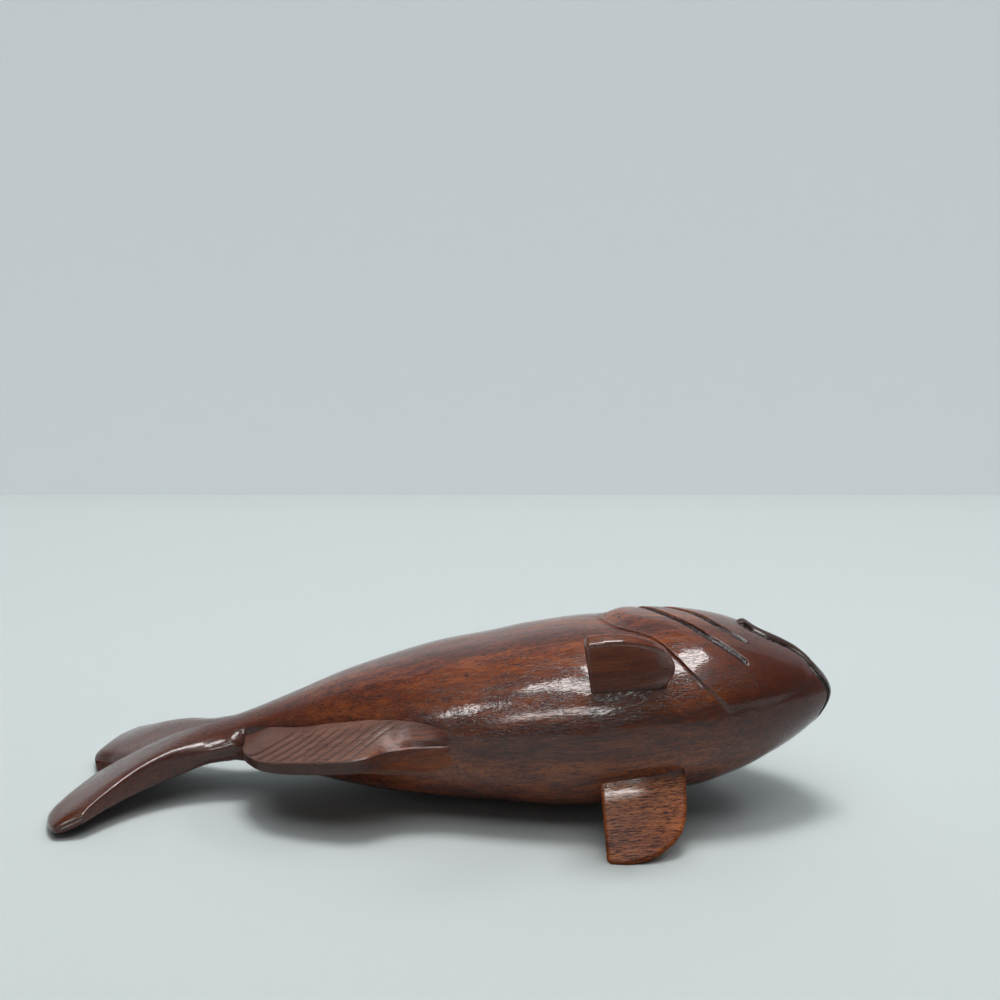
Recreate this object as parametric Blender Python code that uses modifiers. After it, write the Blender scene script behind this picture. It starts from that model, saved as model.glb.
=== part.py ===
# Carved wooden piranha lying on its side, built as the glued-up pieces it is made of.
# The fish is modelled upright in its own frame: X to the head, Y to its left, Z to its back.
# An empty then lays it on its left flank, belly toward -Y, as in the picture.
# All sizes are in millimetres and degrees.

import bpy
import bmesh
import numpy as np
from math import cos, pi, radians, sin, sqrt
from mathutils import Matrix, Vector

mm = 0.001

# fit between glued pieces
gap = 0.3

# body: distance behind the snout is q * q, so the nose closes round
snout_x = 87.9
peduncle_x = -95.0
# half thickness, belly depth, back depth, height of the widest line
peduncle_size = (6.6, 9.6, 9.8, 0.0)
# x, then the same four
body_stations = [
    (-90.0, 7.9, 9.9, 11.0, 0.0),
    (-75.0, 12.2, 12.5, 14.4, 0.0),
    (-60.0, 16.8, 16.8, 19.1, -0.2),
    (-45.0, 20.2, 21.0, 23.9, -0.5),
    (-30.0, 22.8, 24.2, 28.4, -0.8),
    (-15.0, 24.4, 25.8, 32.0, -1.6),
    (0.0, 26.6, 26.6, 34.4, -2.4),
    (15.0, 27.5, 27.0, 35.5, -3.0),
    (30.0, 26.2, 27.2, 33.8, -2.4),
    (45.0, 24.2, 26.2, 29.6, -1.2),
    (58.0, 21.7, 23.2, 24.5, -0.8),
    (70.0, 17.0, 18.2, 18.7, -1.4),
    (79.0, 11.9, 11.6, 13.9, -2.8),
    (84.5, 7.2, 6.0, 8.5, -4.2),
    (87.2, 3.0, 2.4, 3.8, -5.0),
    (87.9, 0.0, 0.0, 0.0, -5.4),
]
# how square the section is below and above the widest line, round again at both ends
belly_power = 2.2
back_power = 2.5
power_rear = (-95.0, -70.0)
power_front = (70.0, 87.0)
# the left flank is carved a little fuller than the right one
side_shift = 0.9
side_shift_rear = (-35.0, 12.0)
side_shift_front = (12.0, 55.0)
body_rings = 46
tail_rings = 19
ring_count = 40

# tail fin, measured back from the peduncle: w runs from -1 at the belly side to 1 at the back side
tail_edge = [
    (-1.0, 40.0, -34.0),
    (-0.86, 48.0, -35.5),
    (-0.66, 53.8, -25.5),
    (-0.35, 47.0, -9.5),
    (0.0, 35.5, -2.0),
    (0.35, 43.0, 4.5),
    (0.66, 50.5, 11.5),
    (0.86, 46.4, 20.0),
    (1.0, 38.6, 24.6),
]
tail_end_half = 2.4
tail_taper = 0.8
tail_reach = 18.0
tail_spread = 6.0
tail_depth = 12.5
tail_squareness = 7.0
tail_square_span = (0.15, 0.6)
tail_round = 0.93
# distance behind the peduncle, sideways drop of the tail toward the left flank
tail_bend = [
    (-3.0, 0.0), (5.0, 0.25), (15.0, 0.95), (25.0, 2.35), (35.0, 4.5), (43.0, 6.6), (49.0, 7.9),
    (53.0, 8.3), (57.0, 8.4),
]
tail_twist = 4.1
twist_span = (-3.0, 50.0)

# gill covers, one shell over the head
gill_edge = [
    (61.5, -24.5), (57.8, -24.2), (55.6, -24.4), (51.4, -24.2), (47.3, -22.7), (42.6, -19.0),
    (38.5, -14.9), (35.6, -12.0), (31.0, -9.3), (26.5, -6.4), (23.3, -1.6), (21.0, 4.2), (20.4, 8.0),
    (21.5, 13.0), (25.0, 19.0), (31.0, 24.0), (38.0, 27.0),
]
# how far it stands proud at its rear edge and further forward
gill_edge_lift = 0.4
gill_lift = 2.1
gill_rise = 7.0
gill_fade = (10.0, 24.0)
gill_front = (40.0, 78.0)
gill_front_share = 0.14
gill_nose = (79.0, 86.0)
gill_throat = (6.5, 24.0)
gill_sink = 0.45
shell_rings = 26
shell_from = 12.0
shell_tool_reach = 45.0

# gill slits, on each flank
gill_slits = [
    [(28.5, 17.0), (33.4, 11.2), (40.5, 0.4), (47.5, -8.1), (53.3, -13.2), (58.9, -16.1), (62.3, -17.6)],
    [(38.5, 14.0), (43.4, 8.8), (50.2, 2.2), (55.9, -5.5), (60.2, -8.6), (63.7, -10.3)],
]
slit_radius = 0.75
# share of each slit that is cut on the left flank
slit_left_share = 0.62

# mouth, from the corner on one flank round the snout to the other
mouth_line = [
    (63.8, 1.6), (66.2, -2.0), (70.6, -3.6), (73.5, -3.8), (77.0, -4.2), (79.6, -5.3), (82.5, -7.3),
    (84.5, -8.3), (86.2, -8.2),
]
mouth_radius = 0.9
lip_rise = 2.7
lip_radius = 2.3
lip_sink = 1.25
lip_sink_span = (70.0, 89.0)

# eyes
eye_x = 63.0
eye_z = 16.2
eye_radius = 3.2
eye_dome = 0.9
eye_depth = 3.0
eye_rim = 0.2
eye_sides = 24
socket_reach = 6.0

# anal fin: a wedge on a flat planed along the belly
seat_from = -91.8
seat_to = -20.0
seat_x = -81.0
seat_height = -9.5
seat_slope = -0.288
# x, edge height, half thickness of the edge
anal_stations = [
    (-90.4, -12.8, 1.2),
    (-89.2, -17.0, 1.4),
    (-86.8, -21.0, 1.5),
    (-82.4, -26.0, 1.6),
    (-77.0, -28.8, 1.8),
    (-70.0, -30.6, 2.0),
    (-62.0, -32.1, 2.1),
    (-54.6, -32.9, 2.2),
    (-50.6, -32.3, 2.3),
    (-43.2, -27.7, 2.4),
    (-36.8, -25.5, 2.7),
    (-30.0, -25.7, 3.0),
    (-26.8, -25.95, 3.2),
]
# the outline turns more sharply behind this
anal_turn_x = -82.0
anal_skin = 0.3
anal_hollow = 0.35
ray_count = 10
ray_first = -88.0
ray_step = 3.6
ray_slant = 17.0
ray_radius = 0.55

# dorsal fin, let into a slot along the back
dorsal_outline = [
    (15.0, 31.5), (9.0, 40.0), (3.0, 46.0), (-4.0, 48.6), (-13.0, 47.4), (-23.0, 43.6), (-32.0, 38.6),
    (-38.5, 33.2), (-41.5, 27.5), (-39.0, 21.5), (-20.0, 25.0), (0.0, 27.6), (10.0, 28.0), (15.0, 28.0),
]
dorsal_thickness = 4.4
dorsal_bevel = 1.2
dorsal_rays = [
    ((-34.0, 25.5), (-38.0, 33.5)), ((-28.0, 28.0), (-33.0, 38.5)), ((-21.5, 29.5), (-27.0, 41.8)),
    ((-15.0, 31.0), (-20.5, 44.6)), ((-8.5, 32.0), (-13.5, 47.0)), ((-2.0, 32.8), (-6.0, 48.0)),
    ((4.5, 33.4), (1.5, 47.0)),
]

# pectoral fins: a plate on each side, its belly face leaving the body at the root,
# the right one drawn in at the front of its root
pectoral_root_y = 13.1
pectoral_root_z = -27.0
pectoral_tilt = 36.0
# distance along the fish, distance out from the root
pectoral_root = -3.0
pectoral_outline = [
    (16.7, -3.0), (16.6, 13.0), (16.5, 22.8), (17.4, 24.5), (22.2, 24.8), (27.3, 24.2), (31.7, 22.6),
    (36.0, 19.8), (38.7, 16.8), (40.4, 12.5),
]
pectoral_front = {
    "left": [(41.1, 7.4), (41.4, 1.6), (41.4, -3.0)],
    "right": [(41.3, 8.4), (40.9, 4.4), (38.8, 0.4), (35.2, -3.0)],
}
pectoral_thickness = 4.0
pectoral_bevel = 1.2

# dowels
dowel_radius = 1.0
dowel_chamfer = 0.3
pectoral_dowel_x = (21.5, 29.5)
pectoral_dowel_length = 12.0
anal_dowel_x = (-74.0, -42.0)
anal_dowel_length = 13.0

# how it lies
roll = 4.75
pitch = 6.71
rest_height = 27.25
foot_tool = (200.0, 60.0)


def smoothStep(value, low, high):
    t = np.clip((np.asarray(value, float) - low) / (high - low), 0.0, 1.0)
    return t * t * (3.0 - 2.0 * t)


def curveThrough(xs, ys, x):
    # cubic through the stations with slopes that never overshoot
    xs, ys, x = np.asarray(xs, float), np.asarray(ys, float), np.asarray(x, float)
    step = np.diff(xs)
    slope = np.diff(ys) / step
    before, after = slope[:-1], slope[1:]
    inner = np.where(before * after > 0, 2 * before * after / (before + after + 1e-12), 0)
    tangent = np.concatenate([[slope[0]], inner, [slope[-1]]])
    i = np.clip(np.searchsorted(xs, x) - 1, 0, len(xs) - 2)
    t = (x - xs[i]) / step[i]
    h00 = 2 * t ** 3 - 3 * t ** 2 + 1
    h10 = t ** 3 - 2 * t ** 2 + t
    h01 = 3 * t ** 2 - 2 * t ** 3
    h11 = t ** 3 - t ** 2
    return h00 * ys[i] + h10 * step[i] * tangent[i] + h01 * ys[i + 1] + h11 * step[i] * tangent[i + 1]


def bodySize(x):
    # half thickness, belly depth, back depth and height of the widest line at x
    rows = [(peduncle_x, *peduncle_size)] + [row for row in body_stations if row[0] > peduncle_x + 1.0]
    table = np.array(rows)[::-1]
    q = np.sqrt(np.maximum(snout_x - np.asarray(x, float), 0.0))
    stations = np.sqrt(snout_x - table[:, 0])
    return [curveThrough(stations, table[:, k], q) for k in range(1, 5)]


def sectionPower(x, above):
    # exponent of the section curve, two at both ends of the body
    square = smoothStep(x, *power_rear) * (1.0 - smoothStep(x, *power_front))
    return 2.0 + (np.where(above, back_power, belly_power) - 2.0) * square


def sideShift(x):
    return side_shift * smoothStep(x, *side_shift_rear) * (1.0 - smoothStep(x, *side_shift_front))


def sideOfBody(x, z, lift=0.0):
    # distance of the flank from the middle plane at x, z
    half, belly, back, middle = bodySize(x)
    above = np.asarray(z) > middle
    depth = np.where(above, back, belly) + lift
    power = sectionPower(x, above)
    part = np.clip(np.abs(np.asarray(z) - middle) / np.maximum(depth, 1e-6), 0.0, 1.0)
    return (half + lift) * (1.0 - part ** power) ** (1.0 / power)


def ringAngles(count):
    return np.arange(count) * 2 * pi / count


def signedPower(value, power):
    return np.sign(value) * np.abs(value) ** power


def bodyRing(x, lift=None):
    half, belly, back, middle = bodySize(x)
    a = ringAngles(ring_count)
    above = np.sin(a) > 0
    power = 2.0 / sectionPower(x, above)
    z = middle + np.where(above, back, belly) * signedPower(np.sin(a), power)
    y = half * signedPower(np.cos(a), power)
    if lift is not None:
        extra = lift(x, y, z)
        y = y + extra * np.cos(a)
        z = z + extra * np.sin(a)
    return np.stack([np.full(ring_count, float(x)), y + sideShift(x), z], 1)


def tailBend(x, z):
    # sideways drop of the tail, its fin twisted level with the rest plane
    table = np.array(tail_bend)
    behind = peduncle_x - np.asarray(x)
    drop = curveThrough(table[:, 0], table[:, 1], np.clip(behind, table[0, 0], table[-1, 0]))
    twist = np.clip((behind - twist_span[0]) / (twist_span[1] - twist_span[0]), 0.0, 1.0)
    return drop - z * np.tan(radians(tail_twist)) * twist


def tailRing(t):
    half, belly, back, middle = bodySize(peduncle_x)
    a = ringAngles(ring_count)
    power = 2.0 + (tail_squareness - 2.0) * smoothStep(t, *tail_square_span)
    w = np.sin(a)
    side = np.sign(np.cos(a)) * np.maximum(1.0 - np.abs(w) ** power, 0.0) ** (1.0 / power)
    edge = np.array(tail_edge)
    split = len(edge) // 2
    belly_x = curveThrough(edge[:split + 1, 0], edge[:split + 1, 1], w)
    back_x = curveThrough(edge[split:, 0], edge[split:, 1], w)
    end_x = peduncle_x - np.where(w < 0, belly_x, back_x)
    end_z = curveThrough(edge[:, 0], edge[:, 2], w)
    start_z = np.where(w > 0, back, belly) * w
    mid_x = peduncle_x - tail_reach - tail_spread * np.abs(w)
    x = (1 - t) ** 2 * peduncle_x + 2 * t * (1 - t) * mid_x + t * t * end_x
    z = (1 - t) ** 2 * start_z + 2 * t * (1 - t) * tail_depth * w + t * t * end_z
    thick = tail_end_half + (half - tail_end_half) * (1 - t) ** tail_taper
    if t > tail_round:
        thick = thick * sqrt(max(0.0, 1 - ((t - tail_round) / (1 - tail_round)) ** 2))
    return np.stack([x, side * thick + tailBend(x, z), z], 1)


def gillLift(x, y, z):
    # the shell rises from its rear edge and sinks under the skin at the throat and toward the back
    edge = anchorAlong(gill_edge, 60)
    x, y, z = np.broadcast_arrays(np.asarray(x, float), y, z)
    reach = np.hypot(x[..., None] - edge[:, 0], z[..., None] - edge[:, 1]).min(-1)
    rise = gill_edge_lift + (gill_lift - gill_edge_lift) * smoothStep(reach, 0.0, gill_rise)
    front = 1.0 - (1.0 - gill_front_share) * smoothStep(x, *gill_front)
    throat = np.where(y < 0, *gill_throat)
    hold = (1.0 - smoothStep(z, *gill_fade)) * smoothStep(np.abs(y), 0.0, throat)
    hold = hold * (1.0 - smoothStep(x, *gill_nose))
    return rise * front * hold - gill_sink * (1.0 - hold)


def seatLine(x):
    return seat_height + seat_slope * (x - seat_x)


def analSection(x):
    # edge height, edge half thickness, root height and root half thickness at x
    rows = np.array(anal_stations)
    edge_z = float(curveThrough(rows[:, 0], rows[:, 1], x))
    edge_y = float(curveThrough(rows[:, 0], rows[:, 2], x))
    top = float(seatLine(x)) - gap
    root_y = max(float(sideOfBody(x, top)) - anal_skin, edge_y)
    return edge_z, edge_y, top, root_y


def anchorAlong(path, count):
    # even points along a polyline
    path = np.array(path, float)
    run = np.concatenate([[0.0], np.cumsum(np.linalg.norm(np.diff(path, axis=0), axis=1))])
    at = np.linspace(0.0, run[-1], count)
    return np.stack([curveThrough(run, path[:, k], at) for k in range(path.shape[1])], 1)


def onFlank(points, side):
    # side-view points carried onto the skin of the head
    points = np.array(points, float)
    x, z = points[:, 0], points[:, 1]
    bare = sideOfBody(x, z)
    y = sideOfBody(x, z, np.maximum(gillLift(x, bare, z), 0.0))
    return np.stack([x, y * side + sideShift(x), z], 1)


def clearScene():
    for item in list(bpy.data.objects):
        bpy.data.objects.remove(item, do_unlink=True)


def makeCollection(name):
    group = bpy.data.collections.new(name)
    bpy.context.scene.collection.children.link(group)
    return group


def cleanMesh(mesh):
    # one closed skin, faces out
    work = bmesh.new()
    work.from_mesh(mesh)
    bmesh.ops.remove_doubles(work, verts=work.verts, dist=0.00001)
    bmesh.ops.dissolve_degenerate(work, dist=0.00001, edges=work.edges)
    bmesh.ops.recalc_face_normals(work, faces=work.faces)
    work.to_mesh(mesh)
    work.free()


def meshObject(name, vertices, faces, group):
    mesh = bpy.data.meshes.new(name)
    mesh.from_pydata([tuple(v) for v in np.asarray(vertices) * mm], [], faces)
    cleanMesh(mesh)
    item = bpy.data.objects.new(name, mesh)
    group.objects.link(item)
    return item


def loft(name, rings, group):
    # skin over rings of equal count, both ends closed by a flat cap
    count = len(rings[0])
    faces = []
    for r in range(len(rings) - 1):
        for k in range(count):
            n = (k + 1) % count
            faces.append((r * count + k, r * count + n, (r + 1) * count + n, (r + 1) * count + k))
    faces.append(tuple(range(count)))
    last = (len(rings) - 1) * count
    faces.append(tuple(range(last + count - 1, last - 1, -1)))
    return meshObject(name, np.concatenate(rings), faces, group)


def bakeCurve(item, group):
    bpy.context.scene.collection.objects.link(item)
    bpy.context.view_layer.update()
    graph = bpy.context.evaluated_depsgraph_get()
    mesh = bpy.data.meshes.new_from_object(item.evaluated_get(graph))
    cleanMesh(mesh)
    name = item.name
    solid = bpy.data.objects.new(name, mesh)
    solid.matrix_world = item.matrix_world.copy()
    bpy.data.objects.remove(item, do_unlink=True)
    solid.name = name
    group.objects.link(solid)
    return solid


def fillSpline(curve, points):
    spline = curve.splines.new("POLY")
    spline.points.add(len(points) - 1)
    for point, place in zip(spline.points, points):
        point.co = (*(v * mm for v in place), 1.0)
    return spline


def outlinePlate(name, outline, thickness, bevel, group, grow=0.0):
    # flat outline drawn in its own XY plane, extruded both ways with a rounded edge
    curve = bpy.data.curves.new(name, "CURVE")
    curve.dimensions = "2D"
    curve.fill_mode = "BOTH"
    curve.extrude = (thickness / 2 - bevel) * mm
    curve.bevel_depth = bevel * mm
    curve.bevel_resolution = 2
    curve.offset = (grow - bevel) * mm
    spline = fillSpline(curve, [(x, y, 0.0) for x, y in outline])
    spline.use_cyclic_u = True
    return bakeCurve(bpy.data.objects.new(name, curve), group)


def tube(name, path, radius, group, sides=2):
    curve = bpy.data.curves.new(name, "CURVE")
    curve.dimensions = "3D"
    curve.bevel_depth = radius * mm
    curve.bevel_resolution = sides
    curve.use_fill_caps = True
    fillSpline(curve, path)
    return bakeCurve(bpy.data.objects.new(name, curve), group)


def rod(name, start, end, radius, group, sides=16):
    start, end = Vector(start), Vector(end)
    length = (end - start).length * mm
    bpy.ops.mesh.primitive_cylinder_add(vertices=sides, radius=radius * mm, depth=length)
    item = bpy.context.object
    item.name = name
    item.data.name = name
    turn = (end - start).to_track_quat("Z", "Y").to_matrix().to_4x4()
    item.matrix_world = Matrix.Translation((start + end) / 2 * mm) @ turn
    for other in list(item.users_collection):
        other.objects.unlink(item)
    group.objects.link(item)
    return item


def block(name, corners, group):
    # eight corners, the first index X, then Y, then Z
    faces = [(0, 1, 3, 2), (4, 6, 7, 5), (0, 4, 5, 1), (2, 3, 7, 6), (0, 2, 6, 4), (1, 5, 7, 3)]
    return meshObject(name, corners, faces, group)


def box(name, low, high, group):
    corners = [(x, y, z) for x in (low[0], high[0]) for y in (low[1], high[1]) for z in (low[2], high[2])]
    return block(name, corners, group)


def combine(item, tool, operation, solver="EXACT"):
    step = item.modifiers.new(operation.title() + " " + tool.name, "BOOLEAN")
    step.operation = operation
    step.object = tool
    step.solver = solver


def settle(item):
    # the cut shape as plain triangles, without the paired faces that a cut can leave along an edge
    bpy.context.view_layer.update()
    graph = bpy.context.evaluated_depsgraph_get()
    mesh = bpy.data.meshes.new_from_object(item.evaluated_get(graph))
    work = bmesh.new()
    work.from_mesh(mesh)
    bmesh.ops.remove_doubles(work, verts=work.verts, dist=0.000005)
    bmesh.ops.dissolve_degenerate(work, dist=0.000005, edges=work.edges)
    bmesh.ops.triangulate(work, faces=work.faces)
    seen = {}
    for face in work.faces:
        seen.setdefault(frozenset(corner.index for corner in face.verts), []).append(face)
    paired = [face for faces in seen.values() if len(faces) > 1 for face in faces]
    bmesh.ops.delete(work, geom=paired, context="FACES")
    work.to_mesh(mesh)
    work.free()
    item.modifiers.clear()
    item.data = mesh


def dowel(name, start, end, first, second):
    # a pin and the hole for it in both pieces
    start, end = Vector(start), Vector(end)
    direction = (end - start).normalized()
    pin = rod(name, start + direction * gap, end - direction * gap, dowel_radius, fish)
    hole = rod(name + "_hole", start, end, dowel_radius + gap, tools)
    edge = pin.modifiers.new("Chamfer", "BEVEL")
    edge.width = dowel_chamfer * mm
    edge.segments = 1
    edge.limit_method = "ANGLE"
    combine(first, hole, "DIFFERENCE")
    combine(second, hole, "DIFFERENCE")
    return pin


def material(name, colour, roughness):
    made = bpy.data.materials.new(name)
    made.use_nodes = True
    shader = made.node_tree.nodes["Principled BSDF"]
    shader.inputs["Base Color"].default_value = (*colour, 1.0)
    shader.inputs["Roughness"].default_value = roughness
    return made


def finish(item, look, angle=35.0):
    item.data.materials.clear()
    item.data.materials.append(look)
    item.data.shade_smooth()
    item.data.set_sharp_from_angle(angle=radians(angle))


def worldSpan(items):
    # lowest and highest corner of the finished pieces
    bpy.context.view_layer.update()
    graph = bpy.context.evaluated_depsgraph_get()
    places = []
    for item in items:
        shape = item.evaluated_get(graph)
        mesh = shape.to_mesh()
        flat = np.empty(len(mesh.vertices) * 3)
        mesh.vertices.foreach_get("co", flat)
        turn = np.array(item.matrix_world)
        places.append(flat.reshape(-1, 3) @ turn[:3, :3].T + turn[:3, 3])
        shape.to_mesh_clear()
    places = np.concatenate(places)
    return places.min(0), places.max(0)


clearScene()
fish = makeCollection("Piranha figurine")
tools = makeCollection("Cutters")

# body block with the tail carved on it
q = np.linspace(0.45, sqrt(snout_x - peduncle_x), body_rings)
rings = [bodyRing(snout_x - v * v) for v in q]
t = 1.0 - (1.0 - np.linspace(0.0, 1.0, tail_rings + 1)[1:]) ** 1.25
rings += [tailRing(v) for v in t]
body = loft("body", rings, fish)

# head shell, trimmed to the gill-cover edge
shell_q = np.linspace(0.9, sqrt(snout_x - shell_from), shell_rings)
head_shell = loft("head_shell", [bodyRing(snout_x - v * v, gillLift) for v in shell_q], tools)
outline = [tuple(p) for p in anchorAlong(gill_edge, 40)]
ahead_x = snout_x + gap
outline += [
    (60.0, shell_tool_reach), (ahead_x, shell_tool_reach), (ahead_x, -shell_tool_reach),
    (66.0, -shell_tool_reach),
]
gill_tool = outlinePlate("gill_outline", outline, 2 * shell_tool_reach, 0.0, tools)
gill_tool.rotation_euler = (radians(90), 0, 0)
combine(head_shell, gill_tool, "INTERSECT")
combine(body, head_shell, "UNION")

# lip roll and mouth groove
upper = anchorAlong(mouth_line, 18)
left = onFlank(upper, 1)
right = onFlank(upper[::-1], -1)
front = [(snout_x - 1.2, 0.0, mouth_line[-1][1] + 0.1)]
mouth_path = np.concatenate([left, front, right])
lip_path = mouth_path.copy()
lip_path[:, 2] += lip_rise
lip_path[:, 1] *= 1.0 - lip_sink / np.maximum(np.abs(lip_path[:, 1]), 12.0)
lip_path[:, 0] -= lip_sink * smoothStep(lip_path[:, 0], *lip_sink_span)
lip = tube("lip", lip_path, lip_radius, tools, 3)
combine(body, lip, "UNION")
groove = tube("mouth_groove", mouth_path, mouth_radius, tools, 2)
combine(body, groove, "DIFFERENCE")

# gill slits
for number, slit in enumerate(gill_slits):
    for sign, label in ((1, "left"), (-1, "right")):
        share = slit_left_share if sign > 0 else 1.0
        path = onFlank(anchorAlong(slit, 24)[:int(24 * share)], sign)
        cutter = tube(f"slit_{label}_{number}", path, slit_radius, tools, 2)
        combine(body, cutter, "DIFFERENCE")

# eyes and their sockets
eyes = []
for sign, label in ((1, "left"), (-1, "right")):
    nudge = 0.05
    around = [(eye_x, eye_z), (eye_x + nudge, eye_z), (eye_x, eye_z + nudge)]
    here, ahead, over = onFlank(around, sign)
    normal = Vector(ahead - here).cross(Vector(over - here)) * -sign
    normal.normalize()
    place = Vector(here)
    deep = place - normal * (eye_depth + gap)
    socket = rod(f"socket_{label}", deep, place + normal * socket_reach, eye_radius + gap, tools, eye_sides)
    combine(body, socket, "DIFFERENCE")
    profile = [(eye_radius, -eye_depth), (eye_radius, eye_rim)]
    for k in range(1, 5):
        angle = k * pi / 10
        profile.append((eye_radius * cos(angle), eye_rim + eye_dome * sin(angle)))
    turn = ringAngles(eye_sides)
    eye_rings = []
    for radius, height in profile:
        ring = [radius * np.cos(turn), radius * np.sin(turn), np.full(eye_sides, height)]
        eye_rings.append(np.stack(ring, 1))
    eye = loft(f"eye_{label}", eye_rings, fish)
    eye.matrix_world = Matrix.Translation(place * mm) @ normal.to_track_quat("Z", "Y").to_matrix().to_4x4()
    eyes.append(eye)

# anal fin on its planed seat
rear, turn_x, fore = anal_stations[0][0], anal_turn_x, anal_stations[-1][0]
xs = np.concatenate([np.linspace(rear, turn_x, 9)[:-1], np.linspace(turn_x, fore, 22)])
anal_rings = []
for x in xs:
    edge_z, edge_y, top, root_y = analSection(x)
    rim = min(1.0, 0.45 * (top - edge_z))
    half = [
        (root_y, top),
        (root_y * 0.72 + edge_y * 0.28 - anal_hollow, top * 0.66 + edge_z * 0.34),
        (root_y * 0.34 + edge_y * 0.66 - anal_hollow, top * 0.30 + edge_z * 0.70),
        (edge_y, edge_z + rim),
        (edge_y * 0.72, edge_z + rim / 4),
        (edge_y * 0.3, edge_z),
    ]
    ring = [(x, y, z) for y, z in half] + [(x, -y, z) for y, z in half[::-1]]
    anal_rings.append(np.array(ring))
anal_fin = loft("anal_fin", anal_rings, fish)
seat_corners = []
for x in (seat_from, seat_to):
    for y in (-30.0, 30.0):
        seat_corners += [(x, y, -40.0), (x, y, float(seatLine(x)))]
seat = block("anal_seat", seat_corners, tools)
combine(body, seat, "DIFFERENCE")
for k in range(ray_count):
    start_x = ray_first + k * ray_step
    for sign, label in ((1, "left"), (-1, "right")):
        path = []
        for part in np.linspace(-0.06, 0.86, 5):
            x = start_x + ray_slant * part
            edge_z, edge_y, top, root_y = analSection(x)
            z = edge_z + 0.6 + (top - edge_z - 0.6) * part
            y = edge_y + (root_y - edge_y) * part + ray_radius * 0.35
            path.append((x, y * sign, z))
        cutter = tube(f"ray_{label}_{k}", path, ray_radius, tools, 1)
        combine(anal_fin, cutter, "DIFFERENCE")

# dorsal fin in its slot
dorsal_fin = outlinePlate("dorsal_fin", dorsal_outline, dorsal_thickness, dorsal_bevel, fish)
slot = outlinePlate("dorsal_slot", dorsal_outline, dorsal_thickness + 2 * gap, 0.0, tools, gap)
for item in (dorsal_fin, slot):
    item.rotation_euler = (radians(90), 0, 0)
combine(body, slot, "DIFFERENCE")
for k, (root, tip) in enumerate(dorsal_rays):
    for sign, label in ((1, "left"), (-1, "right")):
        y = (dorsal_thickness / 2 + ray_radius * 0.35) * sign
        path = [(root[0], y, root[1]), (tip[0], y, tip[1])]
        cutter = tube(f"dorsal_ray_{label}_{k}", path, ray_radius, tools, 1)
        combine(dorsal_fin, cutter, "DIFFERENCE")

# pectoral fins housed in the belly
pectorals = {}
out_y = cos(radians(pectoral_tilt))
out_z = -sin(radians(pectoral_tilt))
for sign, label in ((1, "left"), (-1, "right")):
    outline = pectoral_outline + pectoral_front[label]
    fin = outlinePlate(f"pectoral_fin_{label}", outline, pectoral_thickness, pectoral_bevel, fish)
    house = outlinePlate(f"housing_{label}", outline, pectoral_thickness + 2 * gap, 0.0, tools, gap)
    out = Vector((0.0, out_y * sign, out_z))
    across = Vector((0.0, -out_z * sign, out_y))
    root = Vector((0.0, pectoral_root_y * sign, pectoral_root_z)) + across * pectoral_thickness / 2
    frame = Matrix((
        (1.0, 0.0, 0.0, root.x * mm),
        (0.0, out.y, -out.z, root.y * mm),
        (0.0, out.z, out.y, root.z * mm),
        (0.0, 0.0, 0.0, 1.0),
    ))
    fin.matrix_world = frame
    house.matrix_world = frame
    combine(body, house, "DIFFERENCE")
    pectorals[label] = (fin, frame)

# dowels
pins = []
for label, (fin, frame) in pectorals.items():
    for number, x in enumerate(pectoral_dowel_x, 1):
        reach = pectoral_dowel_length / 2
        start = frame @ (Vector((x, pectoral_root - reach, 0.0)) * mm) / mm
        end = frame @ (Vector((x, pectoral_root + reach, 0.0)) * mm) / mm
        pins.append(dowel(f"pectoral_dowel_{label}_{number}", start, end, body, fin))
for number, x in enumerate(anal_dowel_x, 1):
    z = float(seatLine(x))
    half = anal_dowel_length / 2
    pins.append(dowel(f"anal_dowel_{number}", (x, 0.0, z - half), (x, 0.0, z + half), body, anal_fin))

for item in (body, anal_fin):
    settle(item)

# rest pose: on the left flank, lower pectoral fin and tail tips
holder = bpy.data.objects.new("rest_pose", None)
bpy.context.scene.collection.objects.link(holder)
holder.rotation_euler = (radians(-90 - roll), radians(-pitch), 0.0)
holder.location = (0.0, 0.0, rest_height * mm)
for group in (fish, tools):
    for item in group.objects:
        item.parent = holder

# foot of the lower pectoral fin, filed flat where it rests
wide, deep = foot_tool
foot = box("foot_facet", (-wide, -wide, -deep), (wide, wide, 0.0), tools)
combine(pectorals["left"][0], foot, "DIFFERENCE", "MANIFOLD")

# looks
mahogany = material("mahogany", (0.20, 0.055, 0.028), 0.25)
fin_wood = material("mahogany_fin", (0.24, 0.085, 0.05), 0.32)
dowel_wood = material("birch_dowel", (0.62, 0.45, 0.28), 0.6)
bead = material("black_bead", (0.015, 0.012, 0.012), 0.12)
finish(body, mahogany)
finish(dorsal_fin, mahogany)
finish(anal_fin, fin_wood, 28.0)
for fin, frame in pectorals.values():
    finish(fin, mahogany)
for pin in pins:
    finish(pin, dowel_wood)
for eye in eyes:
    finish(eye, bead)
for item in tools.objects:
    item.hide_render = True
    item.display_type = "WIRE"

# stand the whole thing over the middle of its own outline
low, high = worldSpan(fish.objects)
for item in (holder, foot):
    item.location.x -= (low[0] + high[0]) / 2
    item.location.y -= (low[1] + high[1]) / 2
    item.location.z -= low[2]
bpy.context.view_layer.update()
print("size in mm", np.round((high - low) / mm, 1))
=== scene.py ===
from functools import partial
from math import cos, pi, radians, sin

import bpy
import numpy as np
from mathutils import Matrix, Vector


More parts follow.
